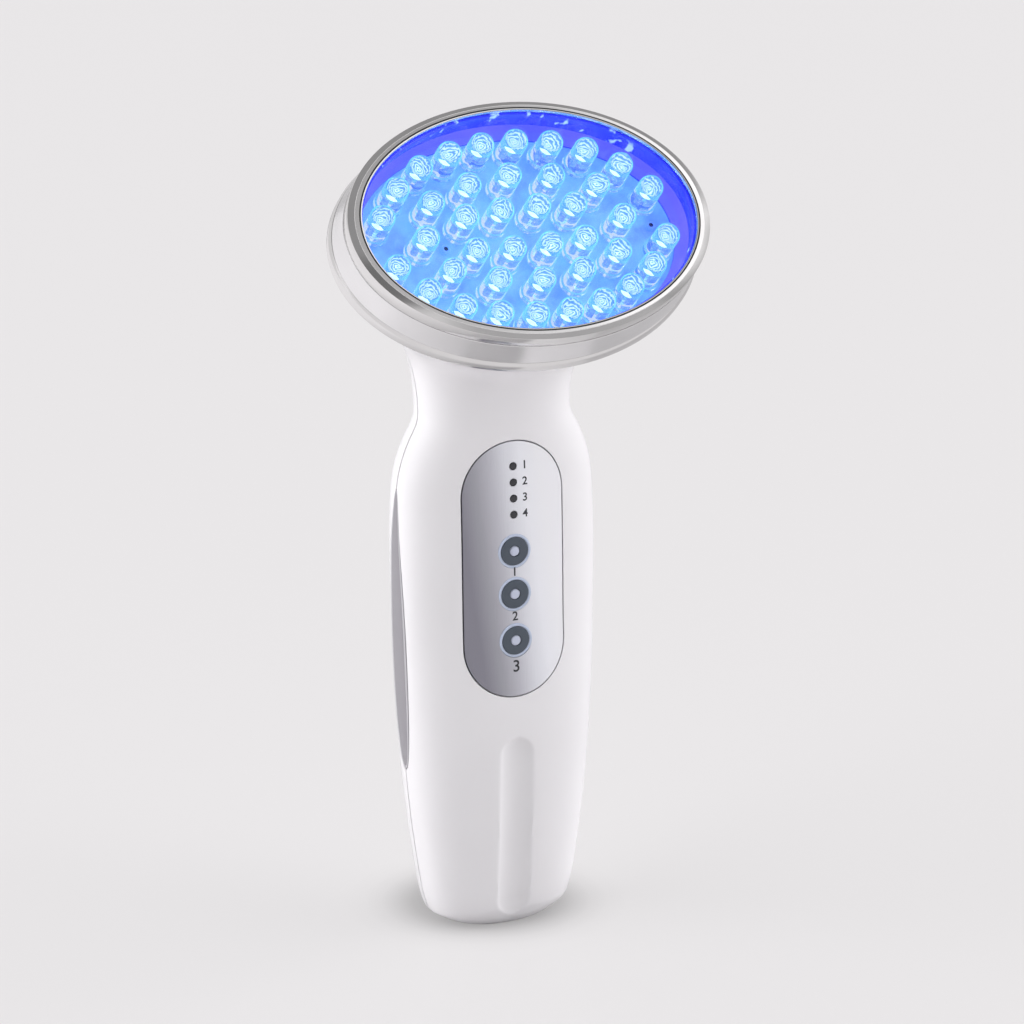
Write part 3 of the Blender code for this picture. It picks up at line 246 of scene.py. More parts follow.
@dataclass(frozen=True)
class MouldedPlastic:
    """Injection moulded plastic with a faint flow and a fine skin."""

    name: str
    colour: Colour
    roughness: float = 0.3
    coat: float = 0.0
    mottle: float = 0.012
    grain_scale: float = 1400.0
    grain_height: float = 0.000004
    grain_share: float = 0.35
    mottle_scale: float = 38.0
    flow_scale: float = 90.0
    flow_stretch: tuple[float, float, float] = (1.0, 1.0, 0.35)
    flow_share: float = 0.08
    coat_roughness: float = 0.06
    ior: float = 1.5

    def make(self) -> bpy.types.Material:
        """Make the finish.

        Returns:
            The material.
        """
        tree = NodeTree(self.name, self.colour, self.roughness)
        tree.set("IOR", self.ior)
        tree.set("Coat Weight", self.coat)
        tree.set("Coat Roughness", self.coat_roughness)
        tree.tones(tree.noise(tree.places(), self.mottle_scale, detail=2.0), self.mottle)
        flow = tree.noise(tree.places(self.flow_stretch), self.flow_scale, detail=4.0)
        tree.feed(tree.spread(flow, self.roughness * (1 - self.flow_share),
                              self.roughness * (1 + self.flow_share)), "Roughness")
        grain = tree.noise(tree.places(), self.grain_scale)
        tree.bump(grain, self.grain_share, self.grain_height)
        return tree.material


@dataclass(frozen=True)
class PlatedMetal:
    """Bright plated metal with hairline wear."""

    name: str
    colour: Colour
    roughness: float = 0.12
    wear: float = 0.05
    cloud_scale: float = 120.0
    cloud_share: float = 0.03
    hairline_scale: float = 420.0
    hairline_stretch: tuple[float, float, float] = (1.0, 1.0, 12.0)
    hairline_turn: float = 0.6
    hairline_coarse: float = 0.65
    hairline_share: float = 0.06
    hairline_height: float = 0.00002

    def make(self) -> bpy.types.Material:
        """Make the finish.

        Returns:
            The material.
        """
        tree = NodeTree(self.name, self.colour, self.roughness, 1.0)
        tree.tones(tree.noise(tree.places(), self.cloud_scale, detail=4.0), self.cloud_share)
        hairline = tree.noise(tree.places(self.hairline_stretch, self.hairline_turn),
                              self.hairline_scale, detail=5.0, coarse=self.hairline_coarse)
        tree.feed(tree.spread(hairline, self.roughness, self.roughness + self.wear), "Roughness")
        tree.bump(hairline, self.hairline_share, self.hairline_height)
        return tree.material


@dataclass(frozen=True)
class BrushedSheet:
    """Silver sheet brushed along its length, with a painted reflection that makes it deeper in tone on the
    left.
    """

    name: str
    stops: tuple[tuple[float, Colour], ...]
    half_width: float
    lean: float = 0.13
    middle: float = 0.0815
    roughness: float = 0.34
    metallic: float = 0.75
    brush_scale: float = 5200.0
    brush_stretch: tuple[float, float, float] = (1.0, 1.0, 0.02)
    brush_coarse: float = 0.6
    brush_wander: float = 0.06
    brush_gloss: Point2 = (-0.05, 0.07)
    brush_share: float = 0.10
    brush_height: float = 0.00001

    def make(self) -> bpy.types.Material:
        """Make the finish.

        Returns:
            The material.
        """
        tree = NodeTree(self.name, self.stops[-1][1], self.roughness, self.metallic)
        # Painted reflection: the base colour runs from dark on the left to light on the right, leaning with
        # height.
        across = tree.add("VectorMath", operation="DOT_PRODUCT")
        tree.link(tree.places(), across, 0)
        across.inputs[1].default_value = (1.0, 0.0, self.lean)
        middle = self.lean * self.middle
        share = tree.spread(across.outputs["Value"], 0.0, 1.0,
                            middle - self.half_width, middle + self.half_width)
        brush = tree.noise(tree.places(self.brush_stretch), self.brush_scale, detail=2.0,
                           coarse=self.brush_coarse)
        wander = tree.add("Math", operation="MULTIPLY_ADD")
        tree.link(brush, wander, 0)
        wander.inputs[1].default_value = self.brush_wander
        tree.link(share, wander, 2)
        tree.feed(tree.ramp(wander.outputs["Value"], self.stops), "Base Color")
        tree.feed(tree.spread(brush, *(self.roughness + part for part in self.brush_gloss)), "Roughness")
        tree.bump(brush, self.brush_share, self.brush_height)
        return tree.material


@dataclass(frozen=True)
class LitSurface:
    """Surface in the lamps' light: its own finish under a painted glow that stands in for that light, with
    optional painted glints; a lamp's die uses it as the true light.
    """

    name: str
    colour: Colour
    glow: Colour
    glow_low: Colour
    strength: float = 1.0
    roughness: float = 0.3
    metallic: float = 0.0
    patch_scale: float = 160.0
    glint: Colour | None = None
    glint_scale: float = 420.0
    glint_stretch: tuple[float, float, float] = (1.0, 1.0, 1.0)
    glint_span: Point2 = (0.645, 0.71)
    patch_span: Point2 = (0.32, 0.60)
    coarse: float = 0.55
    ripple_scale: float = 700.0
    ripple_tone: float = 0.08
    ripple_share: float = 0.10
    ripple_height: float = 0.00003

    def make(self) -> bpy.types.Material:
        """Make the finish.

        Returns:
            The material.
        """
        tree = NodeTree(self.name, self.colour, self.roughness, self.metallic)
        # Painted light: emission in uneven patches in place of the lamps' light falling on the surface.
        patches = tree.noise(tree.places(), self.patch_scale, coarse=self.coarse)
        light = tree.ramp(patches, list(zip(self.patch_span, (self.glow_low, self.glow))))
        # Painted glints: sparse bright specks in place of the lamps' reflections.
        if self.glint is not None:
            fine = tree.noise(tree.places(self.glint_stretch), self.glint_scale, detail=2.0,
                              coarse=self.coarse)
            mix = tree.add("Mix", data_type="RGBA", blend_type="ADD")
            mix.inputs[0].default_value = 1.0
            tree.link(light, mix, MIX_FIRST)
            tree.link(tree.ramp(fine, list(zip(self.glint_span, (BLACK, self.glint)))), mix, MIX_SECOND)
            light = mix.outputs[MIX_RESULT]
        tree.feed(light, "Emission Color")
        tree.set("Emission Strength", self.strength)
        ripple = tree.noise(tree.places(), self.ripple_scale, detail=2.0)
        tree.tones(ripple, self.ripple_tone)
        tree.bump(ripple, self.ripple_share, self.ripple_height)
        return tree.material


@dataclass(frozen=True)
class SwirledGlow:
    """Lit reflector of a lamp: a painted glow in place of the die's light on it, in uneven rings that run
    from blue over cyan to a white core.
    """

    name: str
    line: Colour
    body: Colour
    core: Colour
    edge_strength: float = 0.72
    core_strength: float = 1.15
    reach: float = 0.0015
    ring_scale: float = 1000.0
    ring_distortion: float = 6.0
    ring_detail_scale: float = 2.6
    ring_spans: tuple[float, ...] = (0.05, 0.33, 0.44, 0.60, 0.80)
    drift_scale: float = 380.0
    drift: float = 0.0016
    core_span: Point2 = (0.1, 0.8)
    roughness: float = 0.4

    def make(self) -> bpy.types.Material:
        """Make the finish.

        Returns:
            The material.
        """
        tree = NodeTree(self.name, self.body, self.roughness)
        own = tree.add("Attribute", attribute_name="lamp_place")
        drift = tree.add("TexNoise", scale=self.drift_scale, detail=1.0)
        tree.link(tree.places(), drift, "Vector")
        moved = tree.add("VectorMath", operation="MULTIPLY_ADD")
        tree.link(drift.outputs["Color"], moved, 0)
        moved.inputs[1].default_value = (self.drift, self.drift, 0.0)
        tree.link(own.outputs["Vector"], moved, 2)
        centred = tree.add("VectorMath", operation="SUBTRACT")
        tree.link(moved.outputs["Vector"], centred, 0)
        centred.inputs[1].default_value = (self.drift / 2, self.drift / 2, 0.0)
        rings = tree.add("TexWave", wave_type="RINGS", rings_direction="Z", scale=self.ring_scale,
                         distortion=self.ring_distortion, detail=2.0, detail_scale=self.ring_detail_scale)
        tree.link(centred.outputs["Vector"], rings, "Vector")
        # Painted light: the ring tones and the brighter core stand in for the die's light on the reflector.
        tones = (self.line, self.line, self.body, self.body, self.core)
        tree.feed(tree.ramp(rings.outputs["Fac"], list(zip(self.ring_spans, tones))), "Emission Color")
        span = tree.add("Mapping")
        span.inputs["Scale"].default_value = (1 / self.reach, 1 / self.reach, 0.0)
        tree.link(centred.outputs["Vector"], span, "Vector")
        middle = tree.add("TexGradient", gradient_type="SPHERICAL")
        tree.link(span.outputs["Vector"], middle, "Vector")
        tree.feed(tree.spread(middle.outputs["Fac"], self.edge_strength, self.core_strength,
                              *self.core_span), "Emission Strength")
        return tree.material


@dataclass(frozen=True)
class ClearResin:
    """Clear cast resin or clear sheet, with an optional painted glow that is strongest at its edges."""

    name: str
    tint: Colour
    alpha: float = 1.0
    ior: float = 1.5
    roughness: float = 0.015
    glow: Colour = BLACK
    glow_strength: float = 0.0
    edge_blend: float = 0.35
    edge_span: Point2 = (0.35, 0.95)
    middle_share: float = 0.1
    swirl_scale: float = 900.0
    swirl_share: float = 0.02

    def make(self) -> bpy.types.Material:
        """Make the finish.

        Returns:
            The material.
        """
        tree = NodeTree(self.name, self.tint, self.roughness)
        tree.set("Transmission Weight", 1.0)
        tree.set("IOR", self.ior)
        tree.set("Alpha", self.alpha)
        # Painted glow: on the lamps' resin, emission that grows towards the edges in place of the lamps'
        # light caught in it.
        tree.set("Emission Color", (*self.glow, 1.0))
        if self.glow_strength:
            edge = tree.add("LayerWeight", blend=self.edge_blend)
            tree.feed(tree.spread(edge.outputs["Facing"], self.glow_strength * self.middle_share,
                                  self.glow_strength, *self.edge_span), "Emission Strength")
        swirl = tree.noise(tree.places(), self.swirl_scale, detail=2.0)
        tree.feed(tree.spread(swirl, self.roughness, self.roughness + self.swirl_share), "Roughness")
        tree.tones(swirl, self.swirl_share)
        return tree.material


@dataclass(frozen=True)
class SoftRubber:
    """Matt rubber with a fine moulded grain."""

    name: str
    colour: Colour
    roughness: float = 0.55
    grain_scale: float = 3200.0
    grain_share: float = 0.30
    grain_height: float = 0.00002
    sheen: float = 0.08
    cloud_scale: float = 60.0
    cloud_share: float = 0.03
    dust_scale: float = 240.0
    dust_share: float = 0.06

    def make(self) -> bpy.types.Material:
        """Make the finish.

        Returns:
            The material.
        """
        tree = NodeTree(self.name, self.colour, self.roughness)
        tree.set("Sheen Weight", self.sheen)
        tree.tones(tree.noise(tree.places(), self.cloud_scale), self.cloud_share)
        cells = tree.add("TexVoronoi", scale=self.grain_scale)
        tree.link(tree.places(), cells, "Vector")
        tree.bump(cells.outputs["Distance"], self.grain_share, self.grain_height)
        dust = tree.noise(tree.places(), self.dust_scale, detail=4.0)
        tree.feed(tree.spread(dust, self.roughness - self.dust_share, self.roughness + self.dust_share),
                  "Roughness")
        return tree.material


@dataclass(frozen=True)
class Laminate:
    """Printed circuit board with its conductors under the lacquer."""

    name: str
    lacquer: Colour
    conductor: Colour
    pitch: float = 420.0
    roughness: float = 0.32
    coat: float = 0.4
    track_share: float = 0.04
    shade: float = 0.9
    relief_share: float = 0.25
    relief_height: float = 0.00003

    def make(self) -> bpy.types.Material:
        """Make the finish.

        Returns:
            The material.
        """
        tree = NodeTree(self.name, self.lacquer, self.roughness)
        tree.set("Coat Weight", self.coat)
        tracks = tree.add("TexBrick", scale=self.pitch)
        tracks.inputs["Mortar Size"].default_value = self.track_share
        tracks.inputs["Color1"].default_value = (*self.lacquer, 1.0)
        tracks.inputs["Color2"].default_value = (*(part * self.shade for part in self.lacquer), 1.0)
        tracks.inputs["Mortar"].default_value = (*self.conductor, 1.0)
        tree.link(tree.places((1.0, 1.0, 1.0), math.pi / 2), tracks, "Vector")
        tree.feed(tracks.outputs["Color"], "Base Color")
        tree.bump(tracks.outputs["Fac"], self.relief_share, self.relief_height)
        return tree.material


@dataclass(frozen=True)
class PrintedInk:
    """Ink that is printed on the panel; the same finish also paints the shade in the board screws' hollows.
    """

    name: str
    colour: Colour
    roughness: float = 0.5
    fleck_scale: float = 2600.0
    fleck_share: float = 0.15

    def make(self) -> bpy.types.Material:
        """Make the finish.

        Returns:
            The material.
        """
        tree = NodeTree(self.name, self.colour, self.roughness)
        tree.tones(tree.noise(tree.places(), self.fleck_scale, detail=2.0), self.fleck_share)
        return tree.material


WHITE_SHELL = MouldedPlastic("glossy white housing", (0.84, 0.83, 0.85), 0.33, 0.40)
RIM_PLATING = PlatedMetal("bright plated rim", (0.78, 0.77, 0.77), 0.10)
BAND_PLATING = PlatedMetal("satin silver band", (0.84, 0.83, 0.84), 0.14, 0.06)
SCREW_STEEL = PlatedMetal("zinc plated steel", (0.62, 0.62, 0.64), 0.28, 0.10)
# The panel's stops are a painted reflection, from dark grey on the left to near white on the right.
PANEL_SHEET = BrushedSheet("brushed silver panel", (
    (0.06, (0.28, 0.275, 0.32)), (0.24, (0.41, 0.41, 0.455)), (0.40, (0.58, 0.58, 0.635)),
    (0.56, (0.80, 0.81, 0.865)), (0.72, (0.93, 0.94, 0.99)), (0.88, (0.96, 0.965, 1.0)),
    (1.0, (0.96, 0.96, 1.0))), 0.0108)
# Painted light: the chamber wall, ledge, board and lamp frames glow in place of the lamps' light on them, and
# the wall and frames carry painted glints. Only the dice below are true light.
CHAMBER_WALL = LitSurface("polished chamber wall in blue light", (0.03, 0.04, 0.70),
                          (0.040, 0.060, 0.92), (0.016, 0.024, 0.62), 0.8, 0.10, 0.75, 150.0,
                          (0.50, 0.85, 0.6), 430.0, (1.0, 0.55, 0.55))
CHAMBER_LEDGE = LitSurface("chamber ledge in blue light", (0.10, 0.08, 0.40),
                           (0.125, 0.105, 0.90), (0.065, 0.070, 0.86), 0.90, 0.45, 0.0, 42.0)
BOARD_FACE = LitSurface("lamp board in blue light", (0.16, 0.30, 0.75),
                        (0.13, 0.40, 1.0), (0.075, 0.21, 0.95), 0.85, 0.35, 0.0, 190.0)
# The resin's edge glow is painted light.
LAMP_RESIN = ClearResin("clear lamp resin", (0.93, 0.97, 1.0), 1.0, 1.5, 0.01,
                        (0.12, 0.66, 1.0), 0.62)
# The reflectors' glow is painted light from the dice.
LAMP_REFLECTOR = SwirledGlow("lit lamp reflector", (0.030, 0.08, 0.62), (0.14, 0.44, 0.92),
                             (0.84, 0.99, 1.0))
LAMP_DIE = LitSurface("glowing lamp die", (0.6, 0.8, 1.0), (0.75, 0.97, 1.0), (0.45, 0.85, 1.0),
                      1.15, 0.4, 0.0, 2400.0)
LAMP_FRAME = LitSurface("lamp frame in blue light", (0.25, 0.30, 0.70), (0.16, 0.34, 0.95),
                        (0.07, 0.12, 0.78), 0.75, 0.25, 0.5, 1500.0, (0.80, 0.50, 0.30), 3200.0)
CLEAR_WINDOW = ClearResin("clear window", (0.97, 0.98, 1.0), 0.06, 1.45, 0.01)
SLATE_BUTTON = MouldedPlastic("slate button", (0.070, 0.088, 0.115), 0.42, 0.0, 0.04, 2200.0)
PALE_RING = MouldedPlastic("pale ring", (0.55, 0.62, 0.78), 0.38, 0.0, 0.02)
PALE_DOT = MouldedPlastic("pale button dot", (0.58, 0.62, 0.76), 0.40, 0.0, 0.02)
DARK_LENS = MouldedPlastic("dark indicator lens", (0.022, 0.022, 0.028), 0.20, 0.3, 0.05)
GREY_GRIP = SoftRubber("grey side grip", (0.29, 0.28, 0.305))
KEYPAD_RUBBER = SoftRubber("grey keypad rubber", (0.20, 0.21, 0.23), 0.65, 2400.0)
DARK_PLASTIC = MouldedPlastic("dark moulded plastic", (0.030, 0.031, 0.034), 0.40, 0.0, 0.08)
CIRCUIT_BOARD = Laminate("green circuit board", (0.020, 0.130, 0.060), (0.06, 0.24, 0.10))
CELL_SLEEVE = MouldedPlastic("cell sleeve", (0.10, 0.25, 0.42), 0.30, 0.3, 0.05)
WIRE_COVER = SoftRubber("wire cover", (0.45, 0.05, 0.04), 0.45)
WINDOW_SEAL = SoftRubber("black window seal", (0.018, 0.017, 0.018), 0.6, 3200.0)
GRIP_EDGE = SoftRubber("pale grip edge", (0.48, 0.47, 0.50))
PANEL_INK = PrintedInk("dark panel ink", (0.030, 0.030, 0.038))
# Painted shade in the hollows of the board screws.
HOLLOW_PAINTED_SHADE = PrintedInk("dark hole in the lamp board", (0.004, 0.006, 0.055))


# Meshes


def loft(loops: Sequence[Sequence[Vector]], closed: bool = False) -> bmesh.types.BMesh:
    """Extrude a circle of points from loop to loop.

    Args:
        loops: Point loops of equal length.
        closed: Whether the last loop joins the first, as on a ring.

    Returns:
        The skin, capped at both ends unless it is closed.
    """
    bm = bmesh.new()
    column = bm.verts.layers.int.new("column")
    row = bmesh.ops.create_circle(bm, cap_ends=not closed, segments=len(loops[0]), radius=1.0)["verts"]
    for index, vert in enumerate(row):
        vert[column] = index
        vert.co = loops[0][index]
    edges = bm.edges[:]
    for loop in [*loops[1:], *(loops[:1] if closed else ())]:
        made = bmesh.ops.extrude_edge_only(bm, edges=edges)["geom"]
        row = [part for part in made if isinstance(part, bmesh.types.BMVert)]
        fresh = set(row)
        edges = [part for part in made
                 if isinstance(part, bmesh.types.BMEdge) and fresh.issuperset(part.verts)]
        for vert in row:
            vert.co = loop[vert[column]]
    if closed:
        bmesh.ops.remove_doubles(bm, verts=bm.verts, dist=MERGE_DISTANCE)
    else:
        bmesh.ops.edgenet_fill(bm, edges=edges)
    bmesh.ops.recalc_face_normals(bm, faces=bm.faces)
    return bm


def turned(profile: Sequence[Point2], segments: int, place: Matrix | None = None,
           closed: bool = False) -> bmesh.types.BMesh:
    """Spin a profile about local Z.

    Args:
        profile: Points of (radius, level).
        segments: Steps of the full turn.
        place: Where the finished shape goes.
        closed: Whether the profile's last point joins its first.

    Returns:
        The turned shape with its open ends filled.
    """
    bm = bmesh.new()
    verts = [bm.verts.new((radius, 0.0, level)) for radius, level in profile]
    edges = [bm.edges.new(pair) for pair in zip(verts, verts[1:])]
    if closed:
        edges.append(bm.edges.new((verts[-1], verts[0])))
    bmesh.ops.spin(bm, geom=verts + edges, cent=(0.0, 0.0, 0.0), axis=(0.0, 0.0, 1.0),
                   angle=math.tau, steps=segments, use_merge=True)
    bmesh.ops.remove_doubles(bm, verts=bm.verts, dist=MERGE_DISTANCE)
    if not closed:
        bmesh.ops.holes_fill(bm, edges=[edge for edge in bm.edges if edge.is_boundary], sides=0)
    bmesh.ops.recalc_face_normals(bm, faces=bm.faces)
    if place is not None:
        bm.transform(place)
    return bm


def arc(centre: Point2, radii: Point2, start: float, end: float, steps: int) -> list[Point2]:
    """Points along a part of an ellipse.

    Args:
        centre: Middle of the ellipse.
        radii: Half sizes of the ellipse.
        start: First angle in degrees.
        end: Last angle in degrees.
        steps: Steps between them.

    Returns:
        The points.
    """
    angles = [math.radians(start + (end - start) * step / steps) for step in range(steps + 1)]
    return [(centre[0] + radii[0] * math.cos(angle), centre[1] + radii[1] * math.sin(angle))
            for angle in angles]


def stadium(half_width: float, half_length: float, middle: float, steps: int) -> list[Point2]:
    """Outline of an upright strip with round ends.

    Args:
        half_width: Half of its width.
        half_length: Half of its length.
        middle: Height of its middle.
        steps: Steps of each round end.

    Returns:
        The outline's points.
    """
    straight = half_length - half_width
    radii = (half_width, half_width)
    return [*arc((0.0, middle + straight), radii, 0.0, 180.0, steps),
            *arc((0.0, middle - straight), radii, 180.0, 360.0, steps)]


def joined(parts: Iterable[bmesh.types.BMesh]) -> bmesh.types.BMesh:
    """Put several shapes into one.

    Args:
        parts: The shapes, which are freed.

    Returns:
        One shape that holds them all.
    """
    whole = bmesh.new()
    for part in parts:
        carrier = bpy.data.meshes.new("carrier")
        part.to_mesh(carrier)
        part.free()
        whole.from_mesh(carrier)
        bpy.data.meshes.remove(carrier)
    return whole


def repeated(part: bmesh.types.BMesh, places: Iterable[Matrix]) -> bmesh.types.BMesh:
    """Copy a shape to several places.

    Args:
        part: The shape, which is freed.
        places: Where the copies go.

    Returns:
        One shape that holds the copies.
    """
    carrier = bpy.data.meshes.new("carrier")
    part.to_mesh(carrier)
    part.free()
    whole = bmesh.new()
    for place in places:
        start = len(whole.verts)
        whole.from_mesh(carrier)
        whole.verts.ensure_lookup_table()
        bmesh.ops.transform(whole, matrix=place, verts=whole.verts[start:])
    bpy.data.meshes.remove(carrier)
    return whole


def keep_places(bm: bmesh.types.BMesh, name: str) -> bmesh.types.BMesh:
    """Store each point's own place, so that copies of the shape share one pattern.

    Args:
        bm: The shape.
        name: Name of the attribute.

    Returns:
        The same shape.
    """
    layer = bm.verts.layers.float_vector.new(name)
    for vert in bm.verts:
        vert[layer] = vert.co
    return bm


def as_object(name: str, bm: bmesh.types.BMesh) -> bpy.types.Object:
    """Turn a shape into an object.

    Args:
        name: Name of the object.
        bm: The shape, which is freed.

    Returns:
        The object, linked to the scene.
    """
    mesh = bpy.data.meshes.new(name)
    bm.to_mesh(mesh)
    bm.free()
    item = bpy.data.objects.new(name, mesh)
    bpy.context.scene.collection.objects.link(item)
    return item


def carve(item: bpy.types.Object, steps: Sequence[tuple[bpy.types.Object, Carving]]) -> None:
    """Apply Booleans of other objects to a piece's mesh.

    Args:
        item: The piece.
        steps: Cutters and what each does, in order.
    """
    for cutter, carving in steps:
        boolean = item.modifiers.new(cutter.name, "BOOLEAN")
        boolean.operation = carving.value
        boolean.solver = "EXACT"
        boolean.object = cutter
    graph = bpy.context.evaluated_depsgraph_get()
    mesh = bpy.data.meshes.new_from_object(item.evaluated_get(graph), depsgraph=graph)
    item.modifiers.clear()
    old = item.data
    item.data = mesh
    bpy.data.meshes.remove(old)


def discard(items: Iterable[bpy.types.Object]) -> None:
    """Remove short-lived cutters with their meshes.

    Args:
        items: The cutters.
    """
    for item in items:
        mesh = item.data
        bpy.data.objects.remove(item, do_unlink=True)
        bpy.data.meshes.remove(mesh)


@dataclass(frozen=True)
class Dressing:
    """How a piece is finished: its materials, its body, its slot and the nodes it stands for."""

    finishes: tuple[object, ...]
    slot: str
    body: str = "wand"
    nodes: tuple[str, ...] = ()
    sharp_angle: float = SHARP_ANGLE

    def put_on(self, item: bpy.types.Object) -> bpy.types.Object:
        """Dress a piece.

        Args:
            item: The piece.

        Returns:
            The same piece.
        """
        for finish in self.finishes:
            item.data.materials.append(WARDROBE.get(finish))
        item.data.shade_smooth()
        item.data.set_sharp_from_angle(angle=math.radians(self.sharp_angle))
        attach(item, self.body)
        if self.nodes:
            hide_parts(*self.nodes)
        LOG.info("%s: %d faces", item.name, len(item.data.polygons))
        return item


class Wardrobe:
    """The materials, each made once."""

    def __init__(self) -> None:
        """Start empty."""
        self.made: dict[object, bpy.types.Material] = {}

    def get(self, finish: object) -> bpy.types.Material:
        """Find a finish's material, or make it at its first use.

        Args:
            finish: The finish.

        Returns:
            The material.
        """
        if finish not in self.made:
            self.made[finish] = finish.make()
        return self.made[finish]


WARDROBE = Wardrobe()


# Housing, grips and control panel


@dataclass
class Skin:
    """The smooth outer form of the housing, from the base up to the mouth under the head.

    A row of shares is one station: its height as a share of the neck's, and there the shares of the
    half width, the front depth and the back depth.
    """

    neck_height: float = 0.1083
    half_width: float = 0.0213
    front_depth: float = 0.0113
    back_depth: float = 0.0124
    power: float = 2.5
    face_angle: float = math.radians(42.0)
    head_centre: Vector = field(default_factory=lambda: Vector((0.0, -0.0194, 0.1500)))
    mouth_half_width: float = 0.0374
    mouth_half_height: float = 0.0258
    mouth_depth: float = 0.0124
    rise_share: float = 1.70
    reach_share: float = 0.50
    flare_steps: int = 22
    column_crowding: float = 0.35
    row_pitch: float = 0.0012
    fine_row_pitch: float = 0.0004
    base_round_height: float = 0.0070
    groove_half_width: float = 0.0036
    groove_depth: float = 0.0010
    groove_low: float = 0.0026
    groove_high: float = 0.0413
    groove_end_length: float = 0.0036
    groove_power: float = 0.75
    shares: tuple[tuple[float, float, float, float], ...] = (
        (0.000, 0.376, 0.531, 0.484), (0.004, 0.459, 0.586, 0.541), (0.010, 0.531, 0.633, 0.589),
        (0.018, 0.608, 0.684, 0.641), (0.028, 0.685, 0.735, 0.694), (0.037, 0.709, 0.774, 0.726),
        (0.050, 0.732, 0.796, 0.746), (0.072, 0.761, 0.827, 0.774), (0.144, 0.820, 0.885, 0.830),
        (0.223, 0.873, 0.938, 0.887), (0.303, 0.913, 0.980, 0.930), (0.386, 0.945, 1.000, 0.968),
        (0.497, 0.975, 0.985, 0.992), (0.617, 0.992, 0.935, 1.000), (0.746, 1.000, 0.918, 1.000),
        (0.848, 0.981, 0.895, 0.985), (0.887, 0.953, 0.886, 0.955), (0.916, 0.910, 0.870, 0.905),
        (0.945, 0.850, 0.850, 0.850), (0.968, 0.787, 0.835, 0.800), (0.986, 0.755, 0.830, 0.775),
        (1.000, 0.751, 0.830, 0.770),
    )

    @property
    def head_normal(self) -> Vector:
        """Direction that the lamps face."""
        return Vector((0.0, -math.cos(self.face_angle), math.sin(self.face_angle)))

    @property
    def head_up(self) -> Vector:
        """Direction up the head's face."""
        return Vector((0.0, math.sin(self.face_angle), math.cos(self.face_angle)))

    @property
    def head_frame(self) -> Matrix:
        """Frame at the middle of the face: X to the right, Y up the face, Z out of it."""
        return Matrix.Translation(self.head_centre) @ Matrix.Rotation(math.pi / 2 - self.face_angle, 4, "X")

    def slope(self, index: int, column: int) -> float:
        """Slope of one share at a station, kept within its neighbours' so that nothing overshoots.

        Args:
            index: Number of the station.
            column: Which of the station's shares.

        Returns:
            The slope.
        """
        last = len(self.shares) - 1
        spans = []
        for low, high in ((index - 1, index), (index, index + 1)):
            if 0 <= low and high <= last:
                run = self.shares[high][0] - self.shares[low][0]
                spans.append((self.shares[high][column] - self.shares[low][column]) / run)
        if len(spans) == 1:
            return spans[0] if index == 0 else 0.0
        if spans[0] * spans[1] <= 0:
            return 0.0
        return 2 * spans[0] * spans[1] / (spans[0] + spans[1])

    def section(self, height: float) -> tuple[float, float, float]:
        """Sizes of the handle's section.

        Args:
            height: Height above the base.

        Returns:
            Half width, front depth and back depth.
        """
        share = min(max(height / self.neck_height, 0.0), 1.0)
        index = 0
        while index < len(self.shares) - 2 and share > self.shares[index + 1][0]:
            index += 1
        low, high = self.shares[index], self.shares[index + 1]
        run = high[0] - low[0]
        part = (share - low[0]) / run
        sizes = []
        for column, size in ((1, self.half_width), (2, self.front_depth), (3, self.back_depth)):
            value = (low[column] * (2 * part ** 3 - 3 * part ** 2 + 1)
                     + high[column] * (3 * part ** 2 - 2 * part ** 3)
                     + self.slope(index, column) * run * (part ** 3 - 2 * part ** 2 + part)
                     + self.slope(index + 1, column) * run * (part ** 3 - part ** 2))
            sizes.append(value * size)
        return sizes[0], sizes[1], sizes[2]

    def surface_y(self, across: float, height: float, half: Half) -> float:
        """Place along Y of the surface.

        Args:
            across: Place along X.
            height: Height above the base.
            half: Front or back.

        Returns:
            The place along Y.
        """
        width, front, back = self.section(height)
        depth = front if half is Half.FRONT else back
        share = min(abs(across) / width, 1.0)
        return half.value * depth * (1 - share ** self.power) ** (1 / self.power)

    def groove(self, across: float, height: float) -> float:
        """Depth of the finger groove at a point of the front.

        Args:
            across: Place along X.
            height: Height above the base.

        Returns:
            The depth.
        """
        past = max(height - (self.groove_high - self.groove_end_length),
                   self.groove_low + self.groove_end_length - height, 0.0)
        share = math.hypot(across / self.groove_half_width, past / self.groove_end_length)
        if share >= 1.0:
            return 0.0
        return self.groove_depth * (1 - share ** 2) ** self.groove_power

    def heights(self, fine: bool) -> list[float]:
        """Heights of the loops up to the neck.

        Args:
            fine: Whether they crowd where the base rounds off and where the groove ends.

        Returns:
            The heights, from the base up.
        """
        spans = ((0.0, self.base_round_height),
                 (self.groove_high - self.groove_end_length - self.fine_row_pitch,
                  self.groove_high + self.fine_row_pitch))
        made = [0.0]
        while made[-1] < self.neck_height:
            near = any(low <= made[-1] < high for low, high in spans)
            made.append(made[-1] + (self.fine_row_pitch if fine and near else self.row_pitch))
        made[-1] = self.neck_height
        return made

